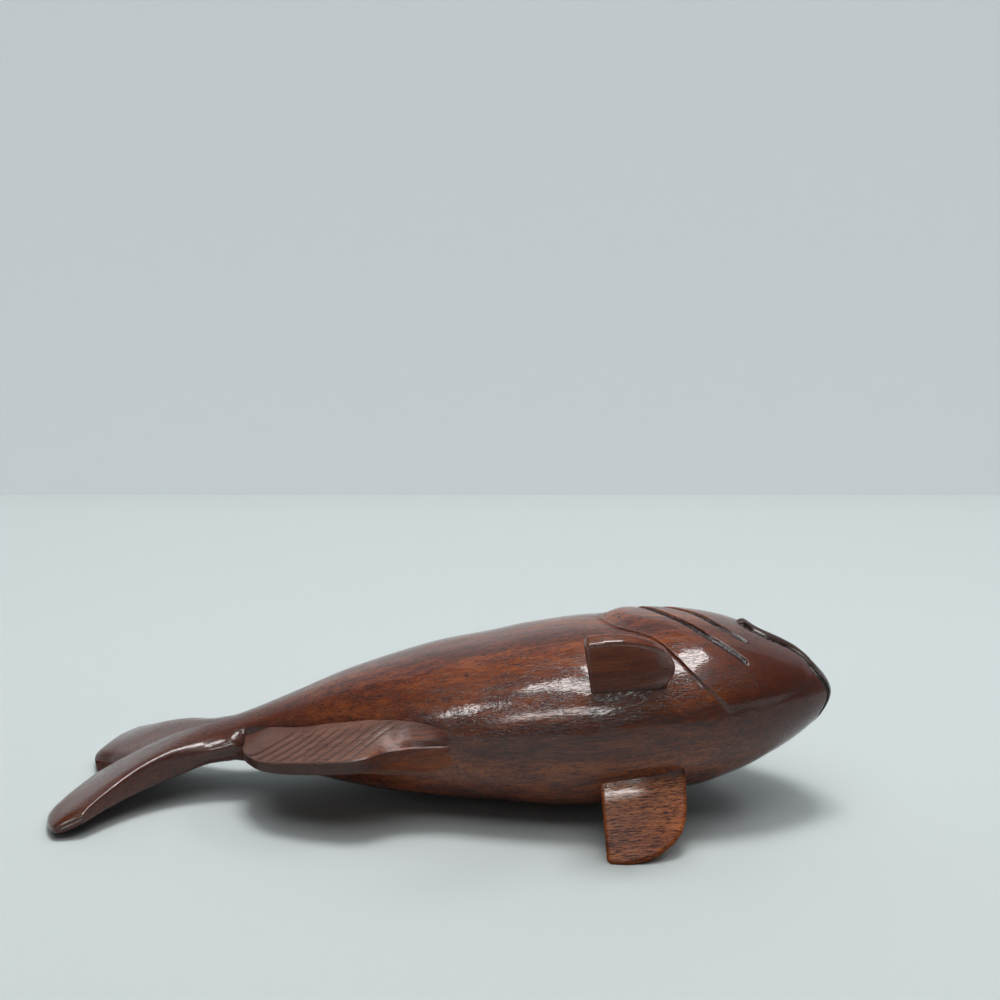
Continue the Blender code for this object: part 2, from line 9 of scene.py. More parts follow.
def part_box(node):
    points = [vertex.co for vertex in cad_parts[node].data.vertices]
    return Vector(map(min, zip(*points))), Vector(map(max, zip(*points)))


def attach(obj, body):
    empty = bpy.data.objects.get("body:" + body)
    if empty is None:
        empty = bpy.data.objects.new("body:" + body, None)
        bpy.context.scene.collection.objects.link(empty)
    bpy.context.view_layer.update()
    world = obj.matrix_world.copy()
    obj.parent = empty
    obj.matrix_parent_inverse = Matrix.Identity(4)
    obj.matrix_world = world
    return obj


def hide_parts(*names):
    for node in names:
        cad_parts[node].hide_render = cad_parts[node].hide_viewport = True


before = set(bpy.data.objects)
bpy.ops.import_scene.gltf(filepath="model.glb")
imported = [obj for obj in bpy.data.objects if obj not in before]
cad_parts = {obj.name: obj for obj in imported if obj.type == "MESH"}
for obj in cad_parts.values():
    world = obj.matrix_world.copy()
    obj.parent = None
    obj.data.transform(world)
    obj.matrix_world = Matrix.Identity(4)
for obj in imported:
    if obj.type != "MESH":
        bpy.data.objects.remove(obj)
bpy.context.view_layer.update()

# Looks of the carved wooden piranha. Shapes are worked out in the fish's own frame, in millimetres:
# X to the head, Y to its left, Z to its back. toPart lays it on its left flank.
mm = 0.001

pose = {
    "roll": 4.75,  # degrees past lying flat on the flank
    "pitch": 6.71,  # head down
    "dowelX": -74.0,  # the first anal dowel marks where the fish lies in the CAD frame
    "foot": 0.04,  # the lower fin is filed level here
}


def smoothStep(value, low, high):
    # t * t * (3 - 2 t), with t running from 0 at low to 1 at high
    t = np.clip((np.asarray(value, float) - low) / (high - low), 0.0, 1.0)
    return t * t * (3.0 - 2.0 * t)


def curveThrough(xs, ys, x):
    # cubic through the stations, each slope the harmonic mean of its neighbours so it never overshoots
    xs, ys, x = np.asarray(xs, float), np.asarray(ys, float), np.asarray(x, float)
    step = np.diff(xs)
    slope = np.diff(ys) / step
    before, after = slope[:-1], slope[1:]
    inner = np.where(before * after > 0, 2 * before * after / (before + after + 1e-12), 0)
    tangent = np.concatenate([[slope[0]], inner, [slope[-1]]])
    i = np.clip(np.searchsorted(xs, x) - 1, 0, len(xs) - 2)
    t = (x - xs[i]) / step[i]
    h00 = 2 * t ** 3 - 3 * t ** 2 + 1
    h10 = t ** 3 - 2 * t ** 2 + t
    h01 = 3 * t ** 2 - 2 * t ** 3
    h11 = t ** 3 - t ** 2
    return h00 * ys[i] + h10 * step[i] * tangent[i] + h01 * ys[i + 1] + h11 * step[i] * tangent[i + 1]


def signedPower(value, power):
    # sign(v) * |v|^p
    return np.sign(value) * np.abs(value) ** power


def runAlong(path):
    # distance from the first point to each point of the path
    return np.concatenate([[0.0], np.cumsum(np.linalg.norm(np.diff(path, axis=0), axis=1))])


def evenPoints(path, count):
    # points at even steps along a smooth curve through the path
    path = np.array(path, float)
    run = runAlong(path)
    at = np.linspace(0.0, run[-1], count)
    return np.stack([curveThrough(run, path[:, k], at) for k in range(path.shape[1])], 1)


def toPart(points):
    # lay the fish on its flank: turn about X, then about Y, then move; metres
    points = np.asarray(points, float)
    return points @ layTurn.T * mm + layPlace


def gridNormals(points):
    # unit cross product of the two grid directions, wrapped around the second
    along = np.gradient(points, axis=0)
    around = np.roll(points, -1, 1) - np.roll(points, 1, 1)
    normal = np.cross(around, along)
    return normal / np.maximum(np.linalg.norm(normal, axis=2, keepdims=True), 1e-9)


def nearestOn(points, path):
    # nearest sample of a dense path to each point
    best = np.full(points.shape[:-1], 1e9)
    place = np.zeros(points.shape)
    for sample in path:
        d = ((points - sample) ** 2).sum(-1)
        closer = d < best
        best = np.where(closer, d, best)
        place[closer] = sample
    return np.sqrt(best), place


def roundOver(points, normals, path, radius, sign):
    # push the skin along its normal n onto a tube about the path, w being the way from the path:
    # h = -w.n + sign * sqrt((w.n)^2 - w.w + r^2)
    near = 1.6  # radii from the path past which the skin stays
    reach, centre = nearestOn(points, path)
    offset = points - centre
    along = (offset * normals).sum(-1)
    inside = along ** 2 - reach ** 2 + radius ** 2
    h = -along + sign * np.sqrt(np.maximum(inside, 0.0))
    h = np.where((inside > 0) & (h * sign > 0) & (reach < radius * near), h, 0.0)
    return points + normals * h[..., None], np.abs(h)


def meshFromGrid(name, points, marks=None, flip=False):
    # quads between neighbouring rows and columns, columns wrapped, both ends closed by a fan
    rows, columns = points.shape[:2]
    flat = points.reshape(-1, 3)
    index = np.arange(rows * columns).reshape(rows, columns)
    nextColumn = np.roll(index, -1, 1)
    quads = np.stack([index[:-1], nextColumn[:-1], nextColumn[1:], index[1:]], -1).reshape(-1, 4)
    faces = [quads]
    for centre, row in ((len(flat), index[0]), (len(flat) + 1, index[-1][::-1])):
        faces.append(np.stack([np.roll(row, -1), row, np.full(columns, centre)], -1))
    flat = np.concatenate([flat, [flat[index[0]].mean(0), flat[index[-1]].mean(0)]])
    if flip:
        faces = [block[:, ::-1] for block in faces]
    mesh = bpy.data.meshes.new(name)
    corners = np.concatenate([block.ravel() for block in faces])
    sizes = np.concatenate([np.full(len(block), block.shape[1]) for block in faces])
    mesh.vertices.add(len(flat))
    placed = toPart(flat)
    placed[:, 2] = np.maximum(placed[:, 2], pose["foot"] * mm)
    mesh.vertices.foreach_set("co", placed.ravel())
    mesh.loops.add(len(corners))
    mesh.loops.foreach_set("vertex_index", corners)
    mesh.polygons.add(len(sizes))
    mesh.polygons.foreach_set("loop_start", np.concatenate([[0], np.cumsum(sizes)[:-1]]))
    mesh.update(calc_edges=True)
    mesh.validate()
    for mark, values in (marks or {}).items():
        values = np.concatenate([np.asarray(values, float).ravel(), (0.0, 0.0)])
        layer = mesh.attributes.new(mark, "FLOAT", "POINT")
        layer.data.foreach_set("value", values)
    mesh.shade_smooth()
    piece = bpy.data.objects.new(name, mesh)
    bpy.context.scene.collection.objects.link(piece)
    return piece


trunk = {
    "snout": 87.9,
    "peduncle": -95.0,
    # x, half thickness, belly depth, back depth, height of the widest line
    "stations": [
        (-95.0, 6.6, 9.6, 9.8, 0.0), (-90.0, 7.9, 9.9, 11.0, 0.0), (-75.0, 12.2, 12.5, 14.4, 0.0),
        (-60.0, 16.8, 16.8, 19.1, -0.2), (-45.0, 20.2, 21.0, 23.9, -0.5), (-30.0, 22.8, 24.2, 28.4, -0.8),
        (-15.0, 24.4, 25.8, 32.0, -1.6), (0.0, 26.6, 26.6, 34.4, -2.4), (15.0, 27.5, 27.0, 35.5, -3.0),
        (30.0, 26.2, 27.2, 33.8, -2.4), (45.0, 24.2, 26.2, 29.6, -1.2), (58.0, 21.7, 23.2, 24.5, -0.8),
        (70.0, 17.0, 18.2, 18.7, -1.4), (79.0, 11.9, 11.6, 13.9, -2.8), (84.5, 7.2, 6.0, 8.5, -4.2),
        (87.2, 3.0, 2.4, 3.8, -5.0), (87.9, 0.0, 0.0, 0.0, -5.4),
    ],
    "bellyPower": 2.2,
    "backPower": 2.5,
    "powerRear": (-95.0, -70.0),
    "powerFront": (70.0, 87.0),
    "shift": 0.9,
    "shiftRear": (-35.0, 12.0),
    "shiftFront": (12.0, 55.0),
    "around": 312,
    "crowding": 0.25,  # brings the columns closer together on the flanks
    "rearRings": 66,
    "headRings": 210,
    "snoutPower": 1.5,  # rings come closer together toward the snout
    "snoutGap": 0.0004,  # the last ring stays this small way behind it
    "seam": 0.03,  # width of the step up onto the gill cover
}


def bodySize(x):
    # half thickness, belly depth, back depth and widest height, read against sqrt(snout - x)
    table = np.array(trunk["stations"])[::-1]
    reach = np.sqrt(np.maximum(trunk["snout"] - np.asarray(x, float), 0.0))
    stations = np.sqrt(trunk["snout"] - table[:, 0])
    return [curveThrough(stations, table[:, k], reach) for k in range(1, 5)]


def sectionPower(x, above):
    # exponent of the section curve |y/half|^p + |z/depth|^p = 1, two at both ends of the trunk
    square = smoothStep(x, *trunk["powerRear"]) * (1.0 - smoothStep(x, *trunk["powerFront"]))
    return 2.0 + (np.where(above, trunk["backPower"], trunk["bellyPower"]) - 2.0) * square


def skinY(x, z, lift=0.0):
    # half width at height z: (half + lift) * (1 - |(z - middle) / (depth + lift)|^p)^(1/p)
    half, belly, back, middle = bodySize(x)
    above = z > middle
    power = sectionPower(x, above)
    part = np.clip(np.abs(z - middle) / (np.where(above, back, belly) + lift), 0.0, 1.0)
    return (half + lift) * (1.0 - part ** power) ** (1.0 / power)


def sideShift(x):
    # the left flank is carved fuller in the middle of the trunk
    middle = smoothStep(x, *trunk["shiftRear"]) * (1.0 - smoothStep(x, *trunk["shiftFront"]))
    return trunk["shift"] * middle


gill = {
    "edge": [
        (61.5, -24.5), (57.8, -24.2), (55.6, -24.4), (51.4, -24.2), (47.3, -22.7), (42.6, -19.0),
        (38.5, -14.9), (35.6, -12.0), (31.0, -9.3), (26.5, -6.4), (23.3, -1.6), (21.0, 4.2), (20.4, 8.0),
        (21.5, 13.0), (25.0, 19.0), (31.0, 24.0), (38.0, 27.0), (47.0, 34.0),
    ],
    "edgeLift": 0.15,
    "creaseLift": 0.4,  # more lift at the edge low on the flank
    "creaseSpan": (-18.0, -2.0),
    "lift": 2.1,
    "rise": 8.0,
    "fade": (10.0, 24.0),
    "front": (40.0, 78.0),
    "frontShare": 0.14,
    "nose": (79.0, 86.0),
    "throat": (6.5, 38.0),  # mm from the keel over which it fades, right and left
    "sink": 0.45,
    "slits": [
        [(28.5, 17.0), (33.4, 11.2), (40.5, 0.4), (47.5, -8.1), (53.3, -13.2), (58.9, -16.1),
         (62.3, -17.6)],
        [(38.5, 14.0), (43.4, 8.8), (50.2, 2.2), (55.9, -5.5), (60.2, -8.6), (63.7, -10.3)],
    ],
    "slitRadius": 1.25,
    "slitRunOut": 0.75,  # the lower ends get this much shallower
    "runOutSpan": (0.5, 1.0),
    "runOutWay": (0.85, -0.5),  # across and down, off the skin
    "slitShade": 3.0,  # painted shade: how soon the cut turns dark with its depth
    "leftShare": 0.62,  # part of each slit's length that is cut on the left flank
    "edgePoints": 200,
    "linePoints": 60,
    "pathPoints": 160,
}


def gillLift(x, y, z):
    # height of the gill cover over the bare skin: start + (lift - start) * smoothStep of the distance
    # from its rear edge, faded out toward back, throat and nose
    edge = evenPoints(gill["edge"][:-1], gill["linePoints"])
    x, y, z = np.broadcast_arrays(np.asarray(x, float), y, z)
    reach = np.full(x.shape, 1e9)
    for ex, ez in edge:
        reach = np.minimum(reach, np.hypot(x - ex, z - ez))
    start = gill["edgeLift"] + gill["creaseLift"] * (1.0 - smoothStep(z, *gill["creaseSpan"]))
    rise = start + (gill["lift"] - start) * smoothStep(reach, 0.0, gill["rise"])
    front = 1.0 - (1.0 - gill["frontShare"]) * smoothStep(x, *gill["front"])
    throat = np.where(y < 0, *gill["throat"])
    hold = (1.0 - smoothStep(z, *gill["fade"])) * smoothStep(np.abs(y), 0.0, throat)
    hold = hold * (1.0 - smoothStep(x, *gill["nose"]))
    return np.maximum(rise * front * hold - gill["sink"] * (1.0 - hold), 0.0)


def flankPoint(points, side):
    # side-view points on the skin, first without and then with the gill cover's lift
    x, z = np.array(points, float).T
    y = skinY(x, z)
    y = skinY(x, z, gillLift(x, y * side, z))
    return np.stack([x, y * side + sideShift(x), z], 1)


def gillEdgeX(angles):
    # x of the gill cover's rear edge at each angle round the section
    edge = evenPoints(gill["edge"], gill["edgePoints"])
    half, belly, back, middle = bodySize(edge[:, 0])
    above = edge[:, 1] > middle
    depth = np.where(above, back, belly) + gill["edgeLift"]
    part = np.clip((edge[:, 1] - middle) / depth, -1.0, 1.0)
    at = np.arcsin(signedPower(part, sectionPower(edge[:, 0], above) / 2.0))
    order = np.argsort(at)
    tilt = np.arcsin(np.sin(angles))
    return np.interp(tilt, at[order], edge[order, 0])


def trunkSkin(x, angles, lifted):
    # section y = half * cos^(2/p), z = middle + depth * sin^(2/p), plus the gill cover's lift
    half, belly, back, middle = bodySize(x)
    above = np.sin(angles) > 0
    power = 2.0 / sectionPower(x, above)
    z = middle + np.where(above, back, belly) * signedPower(np.sin(angles), power)
    y = half * signedPower(np.cos(angles), power)
    if lifted:
        extra = gillLift(x, y, z)
        y = y + extra * np.cos(angles)
        z = z + extra * np.sin(angles)
    return np.stack([x, y + sideShift(x), z], -1)


tail = {
    # w from the belly side to the back side, then distance behind the peduncle and z of the fin's end
    "edge": [
        (-1.0, 40.0, -34.0), (-0.86, 48.0, -35.5), (-0.66, 53.8, -25.5), (-0.35, 47.0, -9.5),
        (0.0, 35.5, -2.0), (0.35, 43.0, 4.5), (0.66, 50.5, 11.5), (0.86, 46.4, 20.0), (1.0, 38.6, 24.6),
    ],
    "endHalf": 2.4,
    "taper": 0.8,
    "reach": 18.0,
    "spread": 6.0,
    "depth": 12.5,
    "squareness": 7.0,
    "squareSpan": (0.15, 0.6),
    "round": 0.93,
    # distance behind the peduncle, drop toward the left flank
    "bend": [
        (-3.0, 0.0), (5.0, 0.25), (15.0, 0.95), (25.0, 2.35), (35.0, 4.5), (43.0, 6.6), (49.0, 7.9),
        (53.0, 8.3), (57.0, 8.4),
    ],
    "twist": 4.1,
    "twistSpan": (-3.0, 50.0),
    "rings": 36,
    "ringPower": 1.35,  # rings come closer together toward the forked end
}


def tailSkin(t, angles):
    # each ring blends from the peduncle's section to the forked end by a quadratic Bezier in t
    half, belly, back, middle = bodySize(trunk["peduncle"])
    power = 2.0 + (tail["squareness"] - 2.0) * smoothStep(t, *tail["squareSpan"])
    w = np.sin(angles)
    side = np.sign(np.cos(angles)) * np.maximum(1.0 - np.abs(w) ** power, 0.0) ** (1.0 / power)
    edge = np.array(tail["edge"])
    split = len(edge) // 2
    bellyX = curveThrough(edge[:split + 1, 0], edge[:split + 1, 1], w)
    backX = curveThrough(edge[split:, 0], edge[split:, 1], w)
    endX = trunk["peduncle"] - np.where(w < 0, bellyX, backX)
    endZ = curveThrough(edge[:, 0], edge[:, 2], w)
    startZ = np.where(w > 0, back, belly) * w
    midX = trunk["peduncle"] - tail["reach"] - tail["spread"] * np.abs(w)
    x = (1 - t) ** 2 * trunk["peduncle"] + 2 * t * (1 - t) * midX + t * t * endX
    z = (1 - t) ** 2 * startZ + 2 * t * (1 - t) * tail["depth"] * w + t * t * endZ
    thick = tail["endHalf"] + (half - tail["endHalf"]) * (1 - t) ** tail["taper"]
    closing = np.clip((t - tail["round"]) / (1 - tail["round"]), 0.0, 1.0)
    thick = thick * np.sqrt(1 - closing ** 2)
    bend = np.array(tail["bend"])
    behind = trunk["peduncle"] - x
    drop = curveThrough(bend[:, 0], bend[:, 1], np.clip(behind, bend[0, 0], bend[-1, 0]))
    start, stop = tail["twistSpan"]
    twist = np.clip((behind - start) / (stop - start), 0.0, 1.0)
    return np.stack([x, side * thick + drop - z * np.tan(radians(tail["twist"])) * twist, z], -1)


analFin = {
    "seatX": -81.0,
    "seatHeight": -9.5,
    "seatSlope": -0.288,
    "seatSpan": (-91.8, -26.9),
    "seatStep": 0.6,  # the planed seat starts over this length to each side
    # x, edge height, half thickness of the edge
    "stations": [
        (-90.4, -12.8, 1.2), (-89.2, -17.0, 1.4), (-86.8, -21.0, 1.5), (-82.4, -26.0, 1.6),
        (-77.0, -28.8, 1.8), (-70.0, -30.6, 2.0), (-62.0, -32.1, 2.1), (-54.6, -32.9, 2.2),
        (-50.6, -32.3, 2.3), (-43.2, -27.9, 2.2), (-41.0, -27.4, 2.1), (-36.8, -26.2, 1.8),
        (-30.0, -25.75, 1.2), (-24.0, -25.5, 0.7), (-18.0, -25.55, 0.4), (-12.0, -25.6, 0.3),
    ],
    "skin": 0.02,
    "glueLine": 0.03,
    "buried": 0.3,  # ahead of the seat its root lies this deep in the belly
    "rearRound": 2.8,  # the root narrows at its rear end
    "rearSpan": (-91.0, -81.0),
    "hollow": 0.35,
    "hollowAt": ((0.28, 0.34), (0.66, 0.70)),  # shares of the way from root to edge, in y and z
    "rim": 0.45,
    "rimShare": 0.45,  # the rim takes no more than this of the fin's height
    "rimCorner": (0.8, 0.1),
    "rimEdge": 0.3,
    "knots": (0.0, 0.30, 0.60, 0.86, 0.92, 1.0),  # where these six points stand along the face
    "rimPower": 1.2,  # columns come closer together toward the rim
    # painted shade on the down-facing edge face of the rim: where it stands across the face, its
    # strength, and the x span where it fades out
    "stripShade": (0.84, 0.90),
    "stripShare": 0.6,
    "stripSpan": (-52.0, -38.0),
    "plainFrom": (-53.0, -48.0),  # ahead of the rays it is lacquered like the body
    "rays": 10,
    "rayFirst": -88.0,
    "rayStep": 3.6,
    "raySlant": 17.0,
    "rayDepth": 0.55,
    "rayWidth": 0.5,
    "rayEdge": (0.02, 0.10),  # shares of the height, where the cuts run out at the edge
    "rayRoot": (0.74, 0.92),  # and at the root
    "along": 300,
    "across": 150,
}


def seatLine(x):
    # the seat falls from its height by slope * (x - seatX)
    return analFin["seatHeight"] + analFin["seatSlope"] * (x - analFin["seatX"])


def finSection(x):
    # edge height, edge half thickness, root height and root half thickness of the anal fin
    rows = np.array(analFin["stations"])
    edgeZ = curveThrough(rows[:, 0], rows[:, 1], x)
    edgeY = curveThrough(rows[:, 0], rows[:, 2], x)
    _, belly, _, middle = bodySize(x)
    top = np.maximum(seatLine(x) - analFin["glueLine"], middle - belly + analFin["buried"])
    top = np.maximum(top, edgeZ + analFin["buried"])
    rootY = np.maximum(skinY(x, top) - analFin["skin"], edgeY)
    narrower = analFin["rearRound"] * (1.0 - smoothStep(x, *analFin["rearSpan"]))
    return edgeZ, edgeY, top, np.maximum(rootY - narrower, edgeY)


def carvedAnalFin():
    # wedge section from root to edge and back, less a groove exp(-(distance / width)^2) along each ray,
    # the rays standing where x - slant * part is first + step * number
    xs = np.linspace(analFin["stations"][0][0], analFin["stations"][-1][0], analFin["along"])
    edgeZ, edgeY, top, rootY = finSection(xs)
    rim = np.minimum(analFin["rim"], analFin["rimShare"] * (top - edgeZ))
    half = [(rootY, top)]
    for inY, inZ in analFin["hollowAt"]:
        hollowY = rootY * (1.0 - inY) + edgeY * inY - analFin["hollow"]
        half.append((hollowY, top * (1.0 - inZ) + edgeZ * inZ))
    inward, below = analFin["rimCorner"]
    half.append((edgeY, edgeZ + rim))
    half.append((edgeY - rim * inward, edgeZ + rim * below))
    half.append((edgeY * analFin["rimEdge"], edgeZ))
    knots = np.array(analFin["knots"])
    count = analFin["across"] // 2
    u = 1.0 - (1.0 - np.linspace(0.0, 1.0, count)) ** analFin["rimPower"]
    half = np.array(half)
    i = np.clip(np.searchsorted(knots, u) - 1, 0, len(knots) - 2)
    f = ((u - knots[i]) / (knots[i + 1] - knots[i]))[:, None, None]
    y, z = (half[i] * (1 - f) + half[i + 1] * f).transpose(1, 2, 0)
    part = (z - edgeZ[:, None]) / (top - edgeZ)[:, None]
    ray = (xs[:, None] - analFin["raySlant"] * part - analFin["rayFirst"]) / analFin["rayStep"]
    near = np.abs(ray - np.round(ray)) * analFin["rayStep"]
    known = (np.round(ray) >= 0) & (np.round(ray) < analFin["rays"])
    hold = known * smoothStep(part, *analFin["rayEdge"]) * (1.0 - smoothStep(part, *analFin["rayRoot"]))
    cut = np.exp(-(near / analFin["rayWidth"]) ** 2) * hold
    y = y - cut * analFin["rayDepth"]
    x = np.broadcast_to(xs[:, None], y.shape)
    left = np.stack([x, y, z], -1)
    right = np.stack([x, -y, z], -1)[:, ::-1]
    points = np.concatenate([left, right], 1)
    # painted shade along the rim's edge face, fading out toward the front
    fading = analFin["stripShare"] * (1.0 - smoothStep(xs, *analFin["stripSpan"]))
    strip = smoothStep(u, *analFin["stripShade"])[None] * fading[:, None]
    plain = smoothStep(x - analFin["raySlant"] * part, *analFin["plainFrom"])
    marks = {}
    for mark, values in (("cut", cut), ("darkening", strip), ("plain", plain)):
        marks[mark] = np.concatenate([values, values[:, ::-1]], 1)
    return meshFromGrid("ribbedAnalFin", points, marks, flip=True)


mouth = {
    "line": [
        (63.8, 1.6), (66.2, -2.0), (70.6, -3.6), (73.5, -3.8), (77.0, -4.2), (79.6, -5.3), (82.5, -7.3),
        (84.5, -8.3), (86.2, -8.2),
    ],
    "radius": 0.9,
    "shade": 1.8,  # painted shade: how soon the cut turns dark with its depth
    "frontPoint": (1.2, 0.1),  # behind the snout and above the line, where both sides meet
    "lipRise": 2.7,
    "lipRadius": 2.3,
    "lipSink": 1.25,
    "lipNarrow": 12.0,  # nearer the middle than this the sink is shared out
    "lipFront": (70.0, 89.0),
    "linePoints": 60,
    "pathPoints": 240,
    # darker band from the mouth line up over the lip
    "lipDarkFrom": (-0.6, 0.3),
    "lipDarkTo": (6.0, 9.0),
    "lipDarkFront": (60.5, 64.0),
}


def carvedBody():
    # rings from the tail's end over the peduncle to the gill edge, a step up, then on to the snout
    even = (np.arange(trunk["around"]) + 0.5) * 2 * pi / trunk["around"]
    angles = even - trunk["crowding"] * np.sin(2 * even)
    t = np.linspace(1.0, 0.0, tail["rings"], endpoint=False)[:, None]
    t = 1.0 - (1.0 - t) ** tail["ringPower"]
    tailPart = tailSkin(t, np.broadcast_to(angles, (len(t), len(angles))))
    edgeX = gillEdgeX(angles)
    s = np.linspace(0.0, 1.0, trunk["rearRings"])[:, None]
    rearX = trunk["peduncle"] + (edgeX - trunk["seam"] - trunk["peduncle"]) * s
    rear = trunkSkin(rearX, np.broadcast_to(angles, rearX.shape), False)
    start, stop = analFin["seatSpan"]
    inSeat = smoothStep(rear[..., 0], start - analFin["seatStep"], start + analFin["seatStep"])
    inSeat = inSeat * (rear[..., 0] < stop)
    planed = np.maximum(rear[..., 2], seatLine(rear[..., 0]))
    rear[..., 2] = rear[..., 2] + (planed - rear[..., 2]) * inSeat
    v = np.linspace(0.0, 1.0, trunk["headRings"])[:, None]
    headX = trunk["snout"] - (trunk["snout"] - edgeX) * (1.0 - v) ** trunk["snoutPower"]
    headX = np.minimum(headX, trunk["snout"] - trunk["snoutGap"])
    head = trunkSkin(headX, np.broadcast_to(angles, headX.shape), True)
    # mouth and lips
    line = evenPoints(mouth["line"], mouth["linePoints"])
    left = flankPoint(line, 1)
    right = flankPoint(line[::-1], -1)
    back, up = mouth["frontPoint"]
    front = [(trunk["snout"] - back, 0.0, mouth["line"][-1][1] + up)]
    mouthPath = np.concatenate([left, front, right])
    lipPath = mouthPath.copy()
    lipPath[:, 2] += mouth["lipRise"]
    lipPath[:, 1] *= 1.0 - mouth["lipSink"] / np.maximum(np.abs(lipPath[:, 1]), mouth["lipNarrow"])
    lipPath[:, 0] -= mouth["lipSink"] * smoothStep(lipPath[:, 0], *mouth["lipFront"])
    lipPath = evenPoints(lipPath, mouth["pathPoints"])
    head = roundOver(head, gridNormals(head), lipPath, mouth["lipRadius"], 1.0)[0]
    normals = gridNormals(head)
    mouthPath = evenPoints(mouthPath, mouth["pathPoints"])
    head, depth = roundOver(head, normals, mouthPath, mouth["radius"], -1.0)
    # painted shade: the mouth groove and the gill slits turn dark with their depth
    cuts = np.minimum(depth / mouth["radius"] * mouth["shade"], 1.0)
    # gill slits
    for slit in gill["slits"]:
        for side in (1, -1):
            count = gill["linePoints"]
            line = evenPoints(slit, count)[:int(count * (gill["leftShare"] if side > 0 else 1.0))]
            path = evenPoints(flankPoint(line, side), gill["pathPoints"])
            shallow = smoothStep(np.linspace(0.0, 1.0, len(path)), *gill["runOutSpan"])
            out, down = gill["runOutWay"]
            path = path + gill["slitRunOut"] * shallow[:, None] * np.array((0.0, side * out, down))
            head, depth = roundOver(head, normals, path, gill["slitRadius"], -1.0)
            cuts = np.maximum(cuts, np.minimum(depth / gill["slitRadius"] * gill["slitShade"], 1.0))
    # darker band from the mouth line up over the lip
    line = np.array(mouth["line"])
    over = head[..., 2] - np.interp(head[..., 0], line[:, 0], line[:, 1])
    darkening = smoothStep(over, *mouth["lipDarkFrom"]) * (1.0 - smoothStep(over, *mouth["lipDarkTo"]))
    darkening = darkening * smoothStep(head[..., 0], *mouth["lipDarkFront"])
    points = np.concatenate([tailPart, rear, head])
    plain = np.zeros((len(tailPart) + len(rear), len(angles)))
    marks = {"cut": np.concatenate([plain, cuts]), "darkening": np.concatenate([plain, darkening])}
    return meshFromGrid("carvedBody", points, marks, flip=True)


dorsalFin = {
    "outline": [
        (15.0, 31.5), (9.0, 40.0), (3.0, 46.0), (-4.0, 48.6), (-13.0, 47.4), (-23.0, 43.6), (-32.0, 38.6),
        (-38.5, 33.2), (-41.5, 27.5), (-39.0, 21.5), (-20.0, 25.0), (0.0, 27.6), (10.0, 28.0),
        (15.0, 28.0),
    ],
    "thickness": 4.4,
    "bevel": 1.2,
    "rays": [
        ((-34.0, 25.5), (-38.0, 33.5)), ((-28.0, 28.0), (-33.0, 38.5)), ((-21.5, 29.5), (-27.0, 41.8)),
        ((-15.0, 31.0), (-20.5, 44.6)), ((-8.5, 32.0), (-13.5, 47.0)), ((-2.0, 32.8), (-6.0, 48.0)),
        ((4.5, 33.4), (1.5, 47.0)),
    ],
    "rayRadius": 0.6,
    "rayDepth": 0.5,
    "around": 420,
    "inward": 60,
}

plate = {
    "softened": 3,  # times each corner of the outline is averaged with its neighbours
    "bevelRings": 7,
    "innerEnd": 0.985,  # share of the way to the middle where the rings stop
    "faceFrom": 0.7,  # rays are cut only above this share of the half thickness
}


